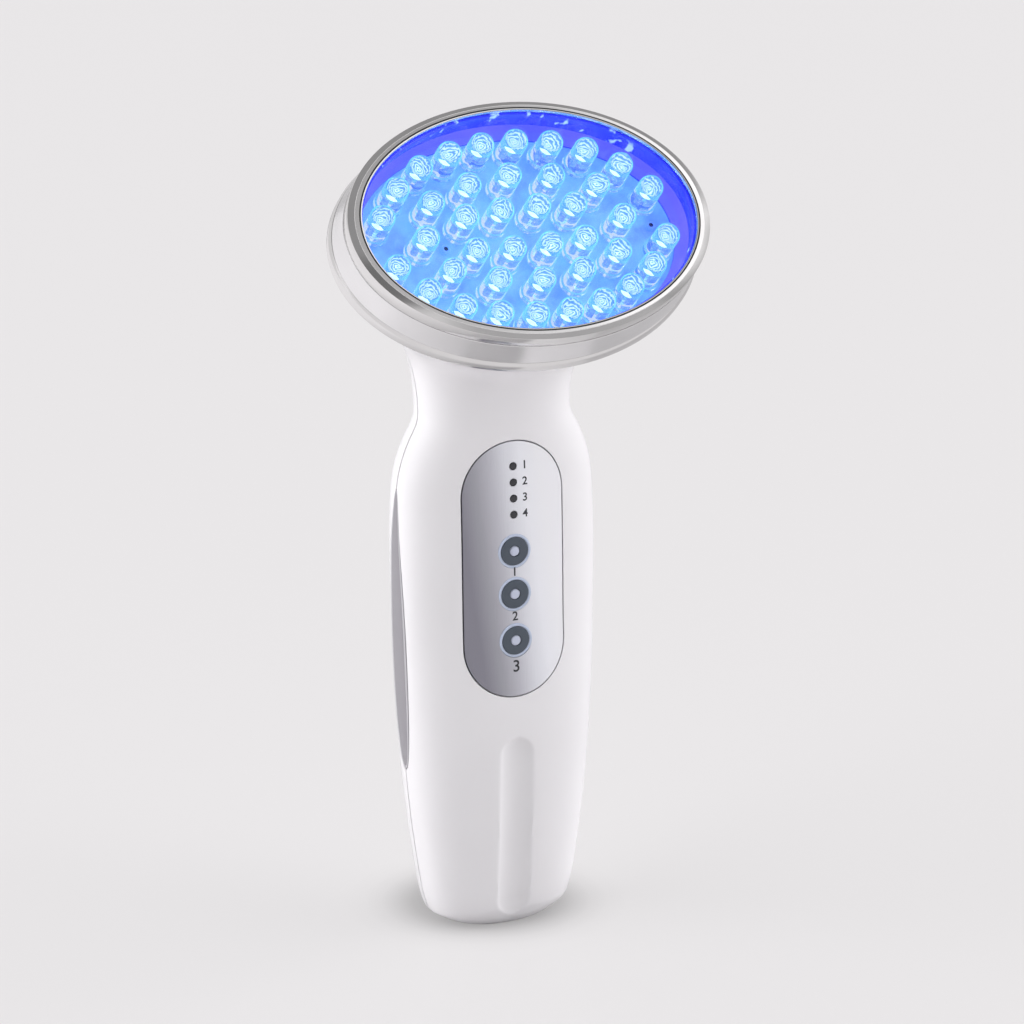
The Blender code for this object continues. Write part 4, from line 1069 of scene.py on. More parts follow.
    def loops(self, inset: float = 0.0, overrun: float = 0.0, columns: int = SHARP_COLUMNS,
              grooved: bool = False) -> list[list[Vector]]:
        """Loops of the form from the base to the mouth.

        Args:
            inset: How far the form is drawn in.
            overrun: How far it runs past the mouth.
            columns: Points round each loop.
            grooved: Whether the finger groove is pressed in.

        Returns:
            The loops.
        """
        steps = [step / columns * math.tau for step in range(columns)]
        angles = [step + self.column_crowding * math.sin(2 * step) for step in steps]
        made = []
        for height in self.heights(grooved):
            width, front, back = (size - inset for size in self.section(height))
            level = inset + height * (1 - inset / self.neck_height)
            loop = []
            for angle in angles:
                cosine, sine = math.cos(angle), math.sin(angle)
                reach = (abs(cosine) ** self.power + abs(sine) ** self.power) ** (-1 / self.power)
                x, y = width * reach * cosine, (back if sine > 0 else front) * reach * sine
                if grooved and sine < 0:
                    y += self.groove(x, level)
                loop.append(Vector((x, y, level)))
            made.append(loop)
        made += self.flare(made[-1], self.mouth(angles, inset))
        if overrun:
            made.append([point + self.head_normal * overrun for point in made[-1]])
        return made

    def mouth(self, angles: Sequence[float], inset: float) -> list[Vector]:
        """Oval of the form's mouth, at the head's own tilt.

        Args:
            angles: Angles of the loops' columns.
            inset: How far the form is drawn in.

        Returns:
            The loop.
        """
        centre = self.head_centre - self.head_normal * self.mouth_depth
        loop = []
        for angle in angles:
            cosine, sine = math.cos(angle), math.sin(angle)
            turn = math.atan2(math.copysign(abs(sine) ** (self.power / 2), sine),
                              math.copysign(abs(cosine) ** (self.power / 2), cosine))
            loop.append(centre + Vector(((self.mouth_half_width - inset) * math.cos(turn), 0.0, 0.0))
                        + self.head_up * (self.mouth_half_height - inset) * math.sin(turn))
        return loop

    def flare(self, neck: Sequence[Vector], mouth: Sequence[Vector]) -> list[list[Vector]]:
        """Loops of the smooth curve from the neck, which starts upright, to the mouth.

        Args:
            neck: Last loop of the handle.
            mouth: Loop of the mouth.

        Returns:
            The loops after the neck's own.
        """
        made = []
        for step in range(1, self.flare_steps + 1):
            part = step / self.flare_steps
            loop = []
            for start, end in zip(neck, mouth):
                length = (end - start).length
                rise = Vector((0.0, 0.0, length * self.rise_share))
                loop.append(start * (2 * part ** 3 - 3 * part ** 2 + 1)
                            + rise * (part ** 3 - 2 * part ** 2 + part)
                            + end * (3 * part ** 2 - 2 * part ** 3)
                            + self.head_normal * length * self.reach_share * (part ** 3 - part ** 2))
            made.append(loop)
        return made

    def solid(self, name: str, inset: float = 0.0, overrun: float = 0.0,
              columns: int = 96) -> bpy.types.Object:
        """Closed solid of the form, for use as a cutter."""
        return as_object(name, loft(self.loops(inset, overrun, columns)))

    def front_prism(self, name: str, outline: Sequence[Point2]) -> bpy.types.Object:
        """Prism that passes through the whole front wall.

        Args:
            name: Name of the object.
            outline: Points across and up.

        Returns:
            The prism.
        """
        levels = (-(self.front_depth + OVERRUN), -self.front_depth / 2)
        return as_object(name, loft([[Vector((x, y, z)) for x, z in outline] for y in levels]))


@dataclass
class Housing:
    """The two moulded half shells, with their recesses, wells and holes."""

    skin: Skin
    wall: float = 0.0020
    seam_gap: float = 0.0003
    fit_gap: float = 0.0003
    slim_gap: float = 0.0002
    panel_half_width: float = 0.0108
    panel_low: float = 0.0502
    panel_high: float = 0.1026
    panel_thickness: float = 0.0008
    button_heights: tuple[float, ...] = (0.0802, 0.0713, 0.0617)
    button_hole_radius: float = 0.00297
    indicator_heights: tuple[float, ...] = (0.0976, 0.0943, 0.0910, 0.0877)
    indicator_radius: float = 0.00073
    grip_low: float = 0.0343
    grip_high: float = 0.0930
    grip_half_width: float = 0.0031
    grip_thickness: float = 0.0011
    screw_places: tuple[Point2, ...] = (
        (-0.0100, 0.0084), (0.0100, 0.0084), (-0.0088, 0.1083), (0.0088, 0.1083))
    screw_head_radius: float = 0.0019
    screw_head_height: float = 0.0012
    screw_sink: float = 0.0010
    screw_radius: float = 0.0010
    socket_height: float = 0.0094
    socket_radius: float = 0.0028
    boss_radius: float = 0.0026
    well_start: float = 0.002
    leaf_lean: float = 0.7
    leaf_fullness: float = 0.6

    def panel_outline(self, margin: float = 0.0) -> list[Point2]:
        """Outline of the panel.

        Args:
            margin: How far it is grown.

        Returns:
            Points across and up.
        """
        middle = (self.panel_low + self.panel_high) / 2
        half_length = (self.panel_high - self.panel_low) / 2
        return stadium(self.panel_half_width + margin, half_length + margin, middle, OUTLINE_STEPS)

    def grip_outline(self, margin: float = 0.0) -> list[Point2]:
        """Leaf outline of a side grip.

        Args:
            margin: How far it is grown.

        Returns:
            Points along Y and up.
        """
        low, high = self.grip_low - margin, self.grip_high + margin
        points = []
        for side in (1, -1):
            for step in range(OUTLINE_STEPS):
                share = (1 - math.cos((step + 0.5) / OUTLINE_STEPS * math.pi)) / 2
                if side < 0:
                    share = 1 - share
                full = math.sin(math.pi * share ** self.leaf_lean) ** self.leaf_fullness
                points.append((side * full * (self.grip_half_width + margin), low + share * (high - low)))
        return points

    def grip_prism(self, name: str, side: Side, margin: float = 0.0) -> bpy.types.Object:
        """Prism of a side grip's outline through one side wall.

        Args:
            name: Name of the object.
            side: Side of the wand.
            margin: How far the outline is grown.

        Returns:
            The prism.
        """
        reach = (side.value * self.skin.half_width / 2, side.value * (self.skin.half_width + OVERRUN))
        loops = [[Vector((x, y, z)) for y, z in self.grip_outline(margin)] for x in reach]
        return as_object(name, loft(loops))

    @staticmethod
    def rod(across: float, height: float, radius: float, front: float, back: float) -> bmesh.types.BMesh:
        """Rod along Y between two places."""
        place = Matrix.Translation((across, 0.0, height)) @ TOWARDS_BACK
        return turned([(radius, front), (radius, back)], BORE_SEGMENTS, place)

    def hollow_form(self) -> bmesh.types.BMesh:
        """Both walls of the whole housing, joined at the mouth and closed at the base.

        Returns:
            The walls' skin.
        """
        outer = self.skin.loops(grooved=True)
        inner = self.skin.loops(self.wall)
        return loft([*outer, *reversed(inner)])

    def half_space(self, name: str, half: Half) -> bpy.types.Object:
        """Box that holds one half of the wand, up to the seam.

        Args:
            name: Name of the object.
            half: Which half.

        Returns:
            The box.
        """
        reach = 0.3
        bm = bmesh.new()
        bmesh.ops.create_cube(bm, size=reach)
        bmesh.ops.translate(bm, verts=bm.verts,
                            vec=(0.0, half.value * (reach + self.seam_gap) / 2, reach / 4))
        return as_object(name, bm)

    def front_holes(self) -> list[bmesh.types.BMesh]:
        """Holes of the buttons and of the indicators.

        Returns:
            The cutters' shapes.
        """
        front, back = -self.skin.front_depth - OVERRUN, -self.skin.front_depth / 2
        holes = [self.rod(0.0, height, self.button_hole_radius, front, back)
                 for height in self.button_heights]
        return holes + [self.rod(0.0, height, self.indicator_radius + self.slim_gap, front, back)
                        for height in self.indicator_heights]

    def back_holes(self) -> list[bmesh.types.BMesh]:
        """Wells of the screws and the hole of the charging socket.

        Returns:
            The cutters' shapes.
        """
        end = self.skin.back_depth + OVERRUN
        holes = [self.rod(0.0, self.socket_height, self.socket_radius + self.slim_gap,
                          self.skin.surface_y(0.0, self.socket_height, Half.BACK) / 2, end)]
        for across, height in self.screw_places:
            floor = self.screw_head_y(across, height) - self.screw_head_height - self.slim_gap
            narrow = self.screw_radius + self.slim_gap
            wide = self.screw_head_radius + self.slim_gap
            profile = [(narrow, self.well_start), (narrow, floor), (wide, floor), (wide, end)]
            place = Matrix.Translation((across, 0.0, height)) @ TOWARDS_BACK
            holes.append(turned(profile, BORE_SEGMENTS, place))
        return holes

    def screw_head_y(self, across: float, height: float) -> float:
        """Place along Y of the outer face of a screw's head."""
        return self.skin.surface_y(across, height, Half.BACK) - self.screw_sink

    def screw_bosses(self) -> list[bmesh.types.BMesh]:
        """Bosses inside the back half that carry the screw heads.

        Returns:
            The bosses' shapes.
        """
        return [self.rod(across, height, self.boss_radius, self.fit_gap,
                         self.skin.surface_y(across, height, Half.BACK) - self.wall / 2)
                for across, height in self.screw_places]

    def recesses(self) -> list[bpy.types.Object]:
        """Cutters of the grip recesses and the panel recess.

        Returns:
            The cutters.
        """
        grip_floor = self.skin.solid("grip_floor", self.grip_thickness + self.fit_gap)
        panel_floor = self.skin.solid("panel_floor", self.panel_thickness + self.fit_gap)
        cutters = []
        for side in Side:
            recess = self.grip_prism("grip_recess_" + side.name.lower(), side, self.fit_gap)
            carve(recess, [(grip_floor, Carving.CUT)])
            cutters.append(recess)
        recess = self.skin.front_prism("panel_recess", self.panel_outline(self.fit_gap))
        carve(recess, [(panel_floor, Carving.CUT)])
        cutters.append(recess)
        discard([grip_floor, panel_floor])
        return cutters

    def build(self) -> None:
        """Build and dress both halves."""
        recesses = self.recesses()
        for half, holes in ((Half.FRONT, self.front_holes()), (Half.BACK, self.back_holes())):
            word = half.name.lower()
            shell = as_object(word + "_housing", self.hollow_form())
            space = self.half_space(word + "_space", half)
            cutters = [(space, Carving.KEEP)]
            extra = [space]
            if half is Half.BACK:
                bosses = as_object("screw_bosses", joined(self.screw_bosses()))
                extra.append(bosses)
                cutters.append((bosses, Carving.FUSE))
            bores = as_object(word + "_bores", joined(holes))
            extra.append(bores)
            cutters += [(recess, Carving.CUT) for recess in recesses]
            cutters.append((bores, Carving.CUT))
            carve(shell, cutters)
            discard(extra)
            Dressing((WHITE_SHELL,), "white_shell", nodes=(word + "_shell",)).put_on(shell)
        discard(recesses)


@dataclass
class SideGrips:
    """The two grey leaves let into the sides."""

    housing: Housing
    edge_round: float = 0.00025
    trim_width: float = 0.0006
    trim_gap: float = 0.00006
    rim_angle: float = math.radians(40.0)
    rim_lean: float = -0.2

    def build(self) -> None:
        """Build and dress both grips, each a core within a pale trim."""
        skin = self.housing.skin
        outside = skin.solid("grip_outside", columns=SHARP_COLUMNS)
        inside = skin.solid("grip_inside", self.housing.grip_thickness)
        for side in Side:
            word = side.name.lower()
            hole = self.housing.grip_prism("grip_hole", side, self.trim_gap - self.trim_width)
            for name, margin, finish, cuts in (
                    ("soft_grip_", -self.trim_width, GREY_GRIP, []),
                    ("grip_trim_", 0.0, GRIP_EDGE, [(hole, Carving.CUT)])):
                grip = self.housing.grip_prism(name + word, side, margin)
                carve(grip, [(outside, Carving.KEEP), (inside, Carving.CUT), *cuts])
                self.round_rim(grip, side)
                Dressing((finish,), "grey_grip", nodes=("side_grip_" + word,)).put_on(grip)
            discard([hole])
        discard([outside, inside])

    def round_rim(self, grip: bpy.types.Object, side: Side) -> None:
        """Bevel the outer edges of a grip's piece.

        Args:
            grip: The piece.
            side: Its side of the wand.
        """
        bm = bmesh.new()
        bm.from_mesh(grip.data)
        rim = [edge for edge in bm.edges
               if edge.is_manifold and edge.calc_face_angle(0.0) > self.rim_angle
               and all(face.normal.x * side.value > self.rim_lean for face in edge.link_faces)]
        bmesh.ops.bevel(bm, geom=rim, offset=self.edge_round, segments=2, profile=0.5,
                        affect="EDGES", material=-1, clamp_overlap=True)
        bm.to_mesh(grip.data)
        bm.free()


@dataclass
class ControlPanel:
    """The brushed strip with its lenses, its printed numerals, its buttons and their rings."""

    housing: Housing
    button_radius: float = 0.00292
    button_proud: float = 0.00025
    ring_radius: float = 0.00352
    ring_gap: float = 0.00003
    flange_radius: float = 0.0037
    flange_thickness: float = 0.0006
    stem_radius: float = 0.0014
    stem_end_y: float = -0.0073
    dot_radius: float = 0.00105
    dot_thickness: float = 0.0005
    lens_numeral_size: float = 0.0023
    button_numeral_sizes: tuple[float, ...] = (0.0026, 0.0026, 0.0034)
    ink_weight: float = 0.00004
    numeral_drops: tuple[float, ...] = (0.00430, 0.00465, 0.00540)
    ink_thickness: float = 0.00002
    names: tuple[str, ...] = ("mode_button_1", "mode_button_2", "power_button")
    button_round: float = 0.00022
    dot_gap: float = 0.00008
    dot_hole_bevel: float = 0.00012
    dot_hole_spare: float = 0.0001
    dot_edge: float = 0.00022
    dot_dome: float = 0.00020
    bead_level: float = 0.00003
    bead_height: float = 0.00010
    button_segments: int = 56
    dot_segments: int = 40
    lens_back_y: float = -0.0046
    lens_edge: float = 0.00005
    lens_dome: float = 0.00012
    lens_segments: int = 32
    lens_numeral_across: float = 0.0025
    weld_distance: float = 1e-7

    def build(self) -> None:
        """Build and dress the panel and what it carries."""
        self.build_sheet()
        for name, height in zip(self.names, self.housing.button_heights):
            self.build_button(name, height)
        self.build_lenses()
        self.build_numerals()

    def build_sheet(self) -> None:
        """The sheet itself, bent to the front of the housing."""
        skin = self.housing.skin
        sheet = skin.front_prism("panel_sheet", self.housing.panel_outline())
        outside = skin.solid("sheet_outside", columns=SHARP_COLUMNS)
        inside = skin.solid("sheet_inside", self.housing.panel_thickness)
        collar = self.ring_radius + self.ring_gap
        lens = self.housing.indicator_radius + self.housing.slim_gap / 2
        front, back = -skin.front_depth - OVERRUN, -skin.front_depth / 2
        holes = [self.housing.rod(0.0, height, radius, front, back)
                 for radius, heights in ((collar, self.housing.button_heights),
                                         (lens, self.housing.indicator_heights))
                 for height in heights]
        bores = as_object("sheet_bores", joined(holes))
        carve(sheet, [(outside, Carving.KEEP), (inside, Carving.CUT), (bores, Carving.CUT)])
        discard([outside, inside, bores])
        Dressing((PANEL_SHEET,), "brushed_panel", nodes=("control_panel",)).put_on(sheet)

    def build_button(self, name: str, height: float) -> None:
        """One button with its flange and stem, the pale dot in its face and the ring round it.

        Args:
            name: Name of the button's node and body.
            height: Height of its middle.
        """
        surface = self.housing.skin.surface_y(0.0, height, Half.FRONT)
        place = Matrix.Translation((0.0, surface, height)) @ TOWARDS_BACK
        button = as_object(name + "_cap", turned(self.button_profile(surface), self.button_segments, place))
        Dressing((SLATE_BUTTON,), "slate_button", name, (name,)).put_on(button)
        face = -self.button_proud
        dome = arc((0.0, face + self.dot_edge), (self.dot_radius, self.dot_dome), 0.0, -90.0, 8)
        dot = turned([(0.0, face + self.dot_thickness), (self.dot_radius, face + self.dot_thickness),
                      *dome], self.dot_segments, place)
        Dressing((PALE_DOT,), "pale_ring", name, (name + "_dot",)).put_on(as_object(name + "_lens", dot))
        hole, rim = self.button_radius + self.ring_gap, self.ring_radius
        bead = arc(((hole + rim) / 2, self.bead_level), ((rim - hole) / 2, self.bead_height), 180.0, 360.0, 8)
        ring = turned([*bead, (rim, self.housing.panel_thickness), (hole, self.housing.panel_thickness)],
                      self.button_segments, place, closed=True)
        Dressing((PALE_RING,), "pale_ring", nodes=(name + "_collar",)).put_on(
            as_object(name + "_ring", ring))

    def button_profile(self, surface: float) -> list[Point2]:
        """Profile of a button, from the dot's hole over its face, wall and flange to its stem.

        Args:
            surface: Place along Y of the panel's surface at the button.

        Returns:
            Points of (radius, depth behind the surface).
        """
        face = -self.button_proud
        edge = self.button_round
        hole, floor = self.dot_radius + self.dot_gap, face + self.dot_thickness + self.dot_hole_spare
        flange = self.housing.wall + self.housing.fit_gap
        under, end = flange + self.flange_thickness, self.stem_end_y - surface
        return [(0.0, floor), (hole, floor), (hole, face + self.dot_hole_bevel),
                (hole + self.dot_hole_bevel, face),
                *arc((self.button_radius - edge, face + edge), (edge, edge), -90.0, 0.0, 5),
                (self.button_radius, flange), (self.flange_radius, flange), (self.flange_radius, under),
                (self.stem_radius, under), (self.stem_radius, end), (0.0, end)]

    def build_lenses(self) -> None:
        """Four dark lenses, slightly domed."""
        radius = self.housing.indicator_radius
        for number, height in enumerate(self.housing.indicator_heights, 1):
            surface = self.housing.skin.surface_y(0.0, height, Half.FRONT)
            place = Matrix.Translation((0.0, surface, height)) @ TOWARDS_BACK
            dome = arc((0.0, self.lens_edge), (radius, self.lens_dome), 0.0, -90.0, 6)
            back = self.lens_back_y - surface
            lens = turned([(0.0, back), (radius, back), *dome], self.lens_segments, place)
            Dressing((DARK_LENS,), "dark_lens", nodes=(f"indicator_lens_{number}",)).put_on(
                as_object(f"indicator_{number}", lens))

    def numeral(self, word: str, size: float, across: float, height: float) -> bmesh.types.BMesh:
        """One printed numeral that lies on the panel.

        Args:
            word: The numeral.
            size: Height of the type.
            across: Place of its middle along X.
            height: Height of its middle.

        Returns:
            The numeral's thin shape.
        """
        curve = bpy.data.curves.new("numeral_" + word, "FONT")
        curve.body = word
        curve.size = size
        curve.align_x = "CENTER"
        curve.align_y = "CENTER"
        curve.extrude = self.ink_thickness / 2
        curve.offset = self.ink_weight
        item = bpy.data.objects.new("numeral_" + word, curve)
        bpy.context.scene.collection.objects.link(item)
        graph = bpy.context.evaluated_depsgraph_get()
        mesh = bpy.data.meshes.new_from_object(item.evaluated_get(graph), depsgraph=graph)
        bpy.data.objects.remove(item, do_unlink=True)
        bpy.data.curves.remove(curve)
        bm = bmesh.new()
        bm.from_mesh(mesh)
        bpy.data.meshes.remove(mesh)
        bmesh.ops.remove_doubles(bm, verts=bm.verts, dist=self.weld_distance)
        bm.transform(Matrix.Translation((across, 0.0, height)) @ Matrix.Rotation(math.pi / 2, 4, "X"))
        for vert in bm.verts:
            surface = self.housing.skin.surface_y(vert.co.x, vert.co.z, Half.FRONT)
            vert.co.y += surface - self.ink_thickness / 3
        return bm

    def build_numerals(self) -> None:
        """Plain numerals beside the lenses and under the buttons."""
        marks = [self.numeral(str(number), self.lens_numeral_size, self.lens_numeral_across, height)
                 for number, height in enumerate(self.housing.indicator_heights, 1)]
        lower = zip(self.housing.button_heights, self.numeral_drops, self.button_numeral_sizes)
        marks += [self.numeral(str(number), size, 0.0, height - drop)
                  for number, (height, drop, size) in enumerate(lower, 1)]
        Dressing((PANEL_INK,), "dark_lens").put_on(as_object("panel_numerals", joined(marks)))


# Lamp head


@dataclass
class LampHead:
    """The oval head: two bright rims with a silver band between, the window, the chamber and the lamps.

    The points of an edge are an offset and a depth, and those of a profile a radius and a level.
    """

    skin: Skin
    opening_half_width: float = 0.0348
    opening_half_height: float = 0.0239
    rim_half_width: float = 0.0377
    rim_half_height: float = 0.0261
    segments: int = 128
    rim_depth: float = 0.0036
    lip_depth: float = 0.0010
    rebate_share: float = 0.42
    band_share: float = 0.80
    band_seat: float = 0.0092
    band_depth: float = 0.0121
    rear_thickness: float = 0.0012
    fit_gap: float = 0.0003
    slim_gap: float = 0.0002
    hairline: float = 0.0001
    seal_start: float = 0.00034
    seal_end: float = 0.00064
    window_thickness: float = 0.0008
    chamber_wall: float = 0.0009
    ledge_depth: float = 0.0054
    ledge_width: float = 0.0015
    board_front: float = 0.0098
    board_back: float = 0.0114
    lamp_radius: float = 0.0025
    flange_radius: float = 0.0029
    flange_height: float = 0.0010
    lamp_height: float = 0.0086
    lamp_shares: tuple[Point2, ...] = (
        (0.104, 0.786), (0.311, 0.739), (0.509, 0.640), (0.687, 0.468), (0.822, 0.227),
        (0.000, 0.485), (0.257, 0.438), (0.506, 0.310), (0.602, 0.000),
        (0.113, 0.177), (0.332, 0.156))
    screw_shares: tuple[Point2, ...] = ((-0.437, 0.0), (0.830, 0.0))
    rim_nose: tuple[Point2, ...] = ((0.0, 0.00024), (0.00005, 0.00010), (0.00014, 0.00004))
    rim_slope: tuple[Point2, ...] = (
        (0.515, 0.00013), (0.525, 0.00018), (0.545, 0.00018), (0.555, 0.00015), (0.80, 0.00041),
        (0.98, 0.00062), (1.0, 0.00074), (1.0, 0.0022))
    rim_back_edge: tuple[Point2, ...] = ((0.0, -0.00015), (-0.00008, -0.00002), (-0.0004, 0.0))
    groove_slack: float = 0.00001
    groove_levels: tuple[float, float, float] = (0.00003, 0.00060, 0.00004)
    seal_levels: Point2 = (0.00010, 0.00058)
    band_front_edge: tuple[Point2, ...] = ((-0.0004, 0.0), (-0.00012, 0.00002), (-0.00004, 0.00012))
    band_bulge: tuple[Point2, ...] = ((0.00008, 0.0052), (0.00026, 0.0068), (0.00044, 0.0082))
    band_back_edge: tuple[Point2, ...] = ((0.00054, -0.0001), (0.00044, 0.0))
    band_inset: float = -(0.0020 + 0.0013)
    collar_depth: float = 0.0015
    collar_wall: float = 0.0010
    board_stop: float = 0.0012
    rear_front_edge: tuple[Point2, ...] = (
        (-0.00062, 0.0), (-0.00052, 0.00006), (-0.00028, 0.00040), (-0.00010, 0.00080), (0.0, 0.00120))
    rear_round: float = 0.0004
    window_depth: float = 0.0001
    wall_nose: float = -0.00035
    wall_shoulders: Point2 = (0.0012, 0.0003)
    ledge_edge: float = 0.0004
    level_tilt: float = 0.2
    back_tilt: float = 0.5
    board_screw_profile: tuple[Point2, ...] = (
        (0.0, -0.0028), (0.0006, -0.0028), (0.0006, 0.0002), (0.0010, 0.0002), (0.0010, 0.0006),
        (0.0008, 0.0008), (0.00045, 0.0008), (0.00045, 0.0005), (0.0, 0.0005))
    board_screw_hole: float = 0.00046
    lamp_lift: float = 0.00002
    flange_round: float = 0.00018
    lamp_foot: float = 0.0001
    bowl_profile: tuple[Point2, ...] = (
        (0.0, 0.00560), (0.00070, 0.00568), (0.00115, 0.00588), (0.00140, 0.00614), (0.00148, 0.00616),
        (0.00150, 0.00600), (0.00110, 0.00575), (0.00060, 0.00555), (0.0, 0.00548))
    die_profile: tuple[Point2, ...] = (
        (0.0, 0.00435), (0.00042, 0.00435), (0.00060, 0.00425), (0.00060, 0.00410), (0.00042, 0.00400),
        (0.0, 0.00400))
    frame_arms: tuple[tuple[float, float, float], ...] = (
        (-0.00070, 0.00090, 0.0038), (0.00085, 0.00060, 0.0034))
    frame_foot: float = 0.0006
    frame_thickness: float = 0.00045
    frame_bevel: float = 0.00012
    dome_angle: float = 50.0

    def oval(self, share: float, offset: float, depth: float) -> list[Vector]:
        """Loop of an oval on the head.

        Args:
            share: 0 at the opening's edge and 1 at the rim's edge.
            offset: Added to both half sizes.
            depth: Depth behind the face.

        Returns:
            The loop.
        """
        opening, rim = self.opening_half_width, self.rim_half_width
        width = opening + share * (rim - opening) + offset
        opening, rim = self.opening_half_height, self.rim_half_height
        height = opening + share * (rim - opening) + offset
        place = self.skin.head_frame
        loop = []
        for step in range(self.segments):
            angle = step / self.segments * math.tau
            loop.append(place @ Vector((width * math.cos(angle), height * math.sin(angle), -depth)))
        return loop

    def ring(self, profile: Sequence[tuple[float, float, float]]) -> bmesh.types.BMesh:
        """Ring on the head from profile points of (share, offset, depth)."""
        return loft([self.oval(*point) for point in profile], closed=True)

    def build(self) -> None:
        """Build and dress the head."""
        self.build_front_rim()
        self.build_band()
        self.build_rear_rim()
        self.build_window()
        self.build_chamber()
        self.build_board()
        self.build_lamps()

    def build_front_rim(self) -> None:
        """Front rim with its step, and the dark seal in its groove."""
        top, floor, edge = self.groove_levels
        rim = as_object("front_rim_ring", self.ring([
            (0.0, 0.0, self.lip_depth), *((0.0, offset, depth) for offset, depth in self.rim_nose),
            (0.0, self.seal_start - 2 * self.groove_slack, top),
            (0.0, self.seal_start - self.groove_slack, floor),
            (0.0, self.seal_end + self.groove_slack, floor),
            (0.0, self.seal_end + 2 * self.groove_slack, edge),
            *((share, 0.0, depth) for share, depth in self.rim_slope),
            *((1.0, offset, self.rim_depth + rise) for offset, rise in self.rim_back_edge),
            (self.rebate_share, 0.0, self.rim_depth), (self.rebate_share, 0.0, self.lip_depth)]))
        Dressing((RIM_PLATING,), "plated_rim", nodes=("front_rim",)).put_on(rim)
        top, floor = self.seal_levels
        seal = self.ring([(0.0, self.seal_start, top), (0.0, self.seal_end, top),
                          (0.0, self.seal_end, floor), (0.0, self.seal_start, floor)])
        Dressing((WINDOW_SEAL,), "dark_plastic").put_on(as_object("window_seal_ring", seal))

    def build_band(self) -> None:
        """Silver band between the rims, with the collar that holds the housing and the lamp board."""
        start = self.rim_depth + self.hairline
        inner, collar = self.band_inset, self.band_depth + self.collar_depth
        stop, seat = self.board_back + self.board_stop, self.board_back + self.slim_gap
        band = as_object("side_band", self.ring([
            (self.rebate_share, 0.0, start),
            *((1.0, offset, start + rise) for offset, rise in self.band_front_edge),
            *((1.0, offset, depth) for offset, depth in self.band_bulge),
            *((1.0, offset, self.band_seat + rise) for offset, rise in self.band_back_edge),
            (self.band_share, 0.0, self.band_seat), (self.band_share, 0.0, self.band_depth),
            (1.0, inner, self.band_depth), (1.0, inner, collar),
            (1.0, inner - self.collar_wall, collar), (1.0, inner - self.collar_wall, stop),
            (0.0, -self.ledge_width, stop), (0.0, -self.ledge_width, seat),
            (self.rebate_share, 0.0, seat)]))
        Dressing((BAND_PLATING,), "silver_band", nodes=("head_band",)).put_on(band)

    def build_rear_rim(self) -> None:
        """Rear rim, with a sloped front edge and a round back edge."""
        front, back = self.band_seat + self.hairline, self.band_depth - self.hairline
        outer, edge = self.fit_gap + self.rear_thickness, self.rear_round
        round_back = arc((outer - edge, back - edge), (edge, edge), 0.0, 90.0, 5)
        rear = as_object("rear_rim_ring", self.ring([
            (self.band_share, self.fit_gap, front),
            *((self.band_share, outer + offset, front + rise) for offset, rise in self.rear_front_edge),
            *((self.band_share, offset, depth) for offset, depth in round_back),
            (self.band_share, self.fit_gap, back)]))
        Dressing((RIM_PLATING,), "plated_rim", nodes=("rear_rim",)).put_on(rear)

    def build_window(self) -> None:
        """Clear pane in the opening."""
        pane = [self.oval(0.0, -self.slim_gap / 2, depth)
                for depth in (self.window_depth + self.window_thickness, self.window_depth)]
        Dressing((CLEAR_WINDOW,), "clear_window", nodes=("window",)).put_on(
            as_object("clear_pane", loft(pane)))

    def build_chamber(self) -> None:
        """Polished wall and sloped ledge round the lamps, dark on the outside, where no light leaks."""
        front = self.window_depth + self.window_thickness + self.slim_gap
        back = self.board_front - self.slim_gap
        outer = (self.rebate_share, -self.slim_gap)
        inner = (self.rebate_share, -self.slim_gap - self.chamber_wall)
        lower, upper = (front + shoulder for shoulder in self.wall_shoulders)
        bm = self.ring([
            (0.0, self.wall_nose, front), (0.0, -self.slim_gap, front),
            (0.0, -self.slim_gap, self.lip_depth + self.slim_gap), (*outer, self.lip_depth + self.slim_gap),
            (*outer, back), (0.0, -self.ledge_width, back),
            (0.0, -self.ledge_width, back - self.ledge_edge), (*inner, self.ledge_depth),
            (*inner, lower), (0.0, self.wall_nose, upper)])
        finishes = (CHAMBER_WALL, CHAMBER_LEDGE, DARK_PLASTIC)
        into_head = self.skin.head_frame.inverted()
        for face in bm.faces:
            middle = into_head @ face.calc_center_median()
            depth = -middle.z
            normal = into_head.to_3x3() @ face.normal
            if depth > self.ledge_depth and normal.z > self.level_tilt:
                face.material_index = finishes.index(CHAMBER_LEDGE)
            elif normal.z < -self.back_tilt or (abs(normal.z) < self.level_tilt
                                                and normal.xy.dot(middle.xy) > 0.0):
                face.material_index = finishes.index(DARK_PLASTIC)
        Dressing(finishes, "chamber_wall", nodes=("light_chamber",)).put_on(as_object("chamber_shell", bm))

    def face_place(self, across: float, up: float, depth: float = 0.0) -> Matrix:
        """Frame at a place of the face, given in metres, at a depth behind it."""
        return self.skin.head_frame @ Matrix.Translation((across, up, -depth))

    def lamp_places(self) -> list[Matrix]:
        """Frames of the lamps, on the board.

        Returns:
            The frames.
        """
        places = []
        for across, up in self.lamp_shares:
            for side in ((1, -1) if across else (1,)):
                for half in ((1, -1) if up else (1,)):
                    places.append(self.face_place(side * across * self.opening_half_width,
                                                  half * up * self.opening_half_height, self.board_front))
        return places

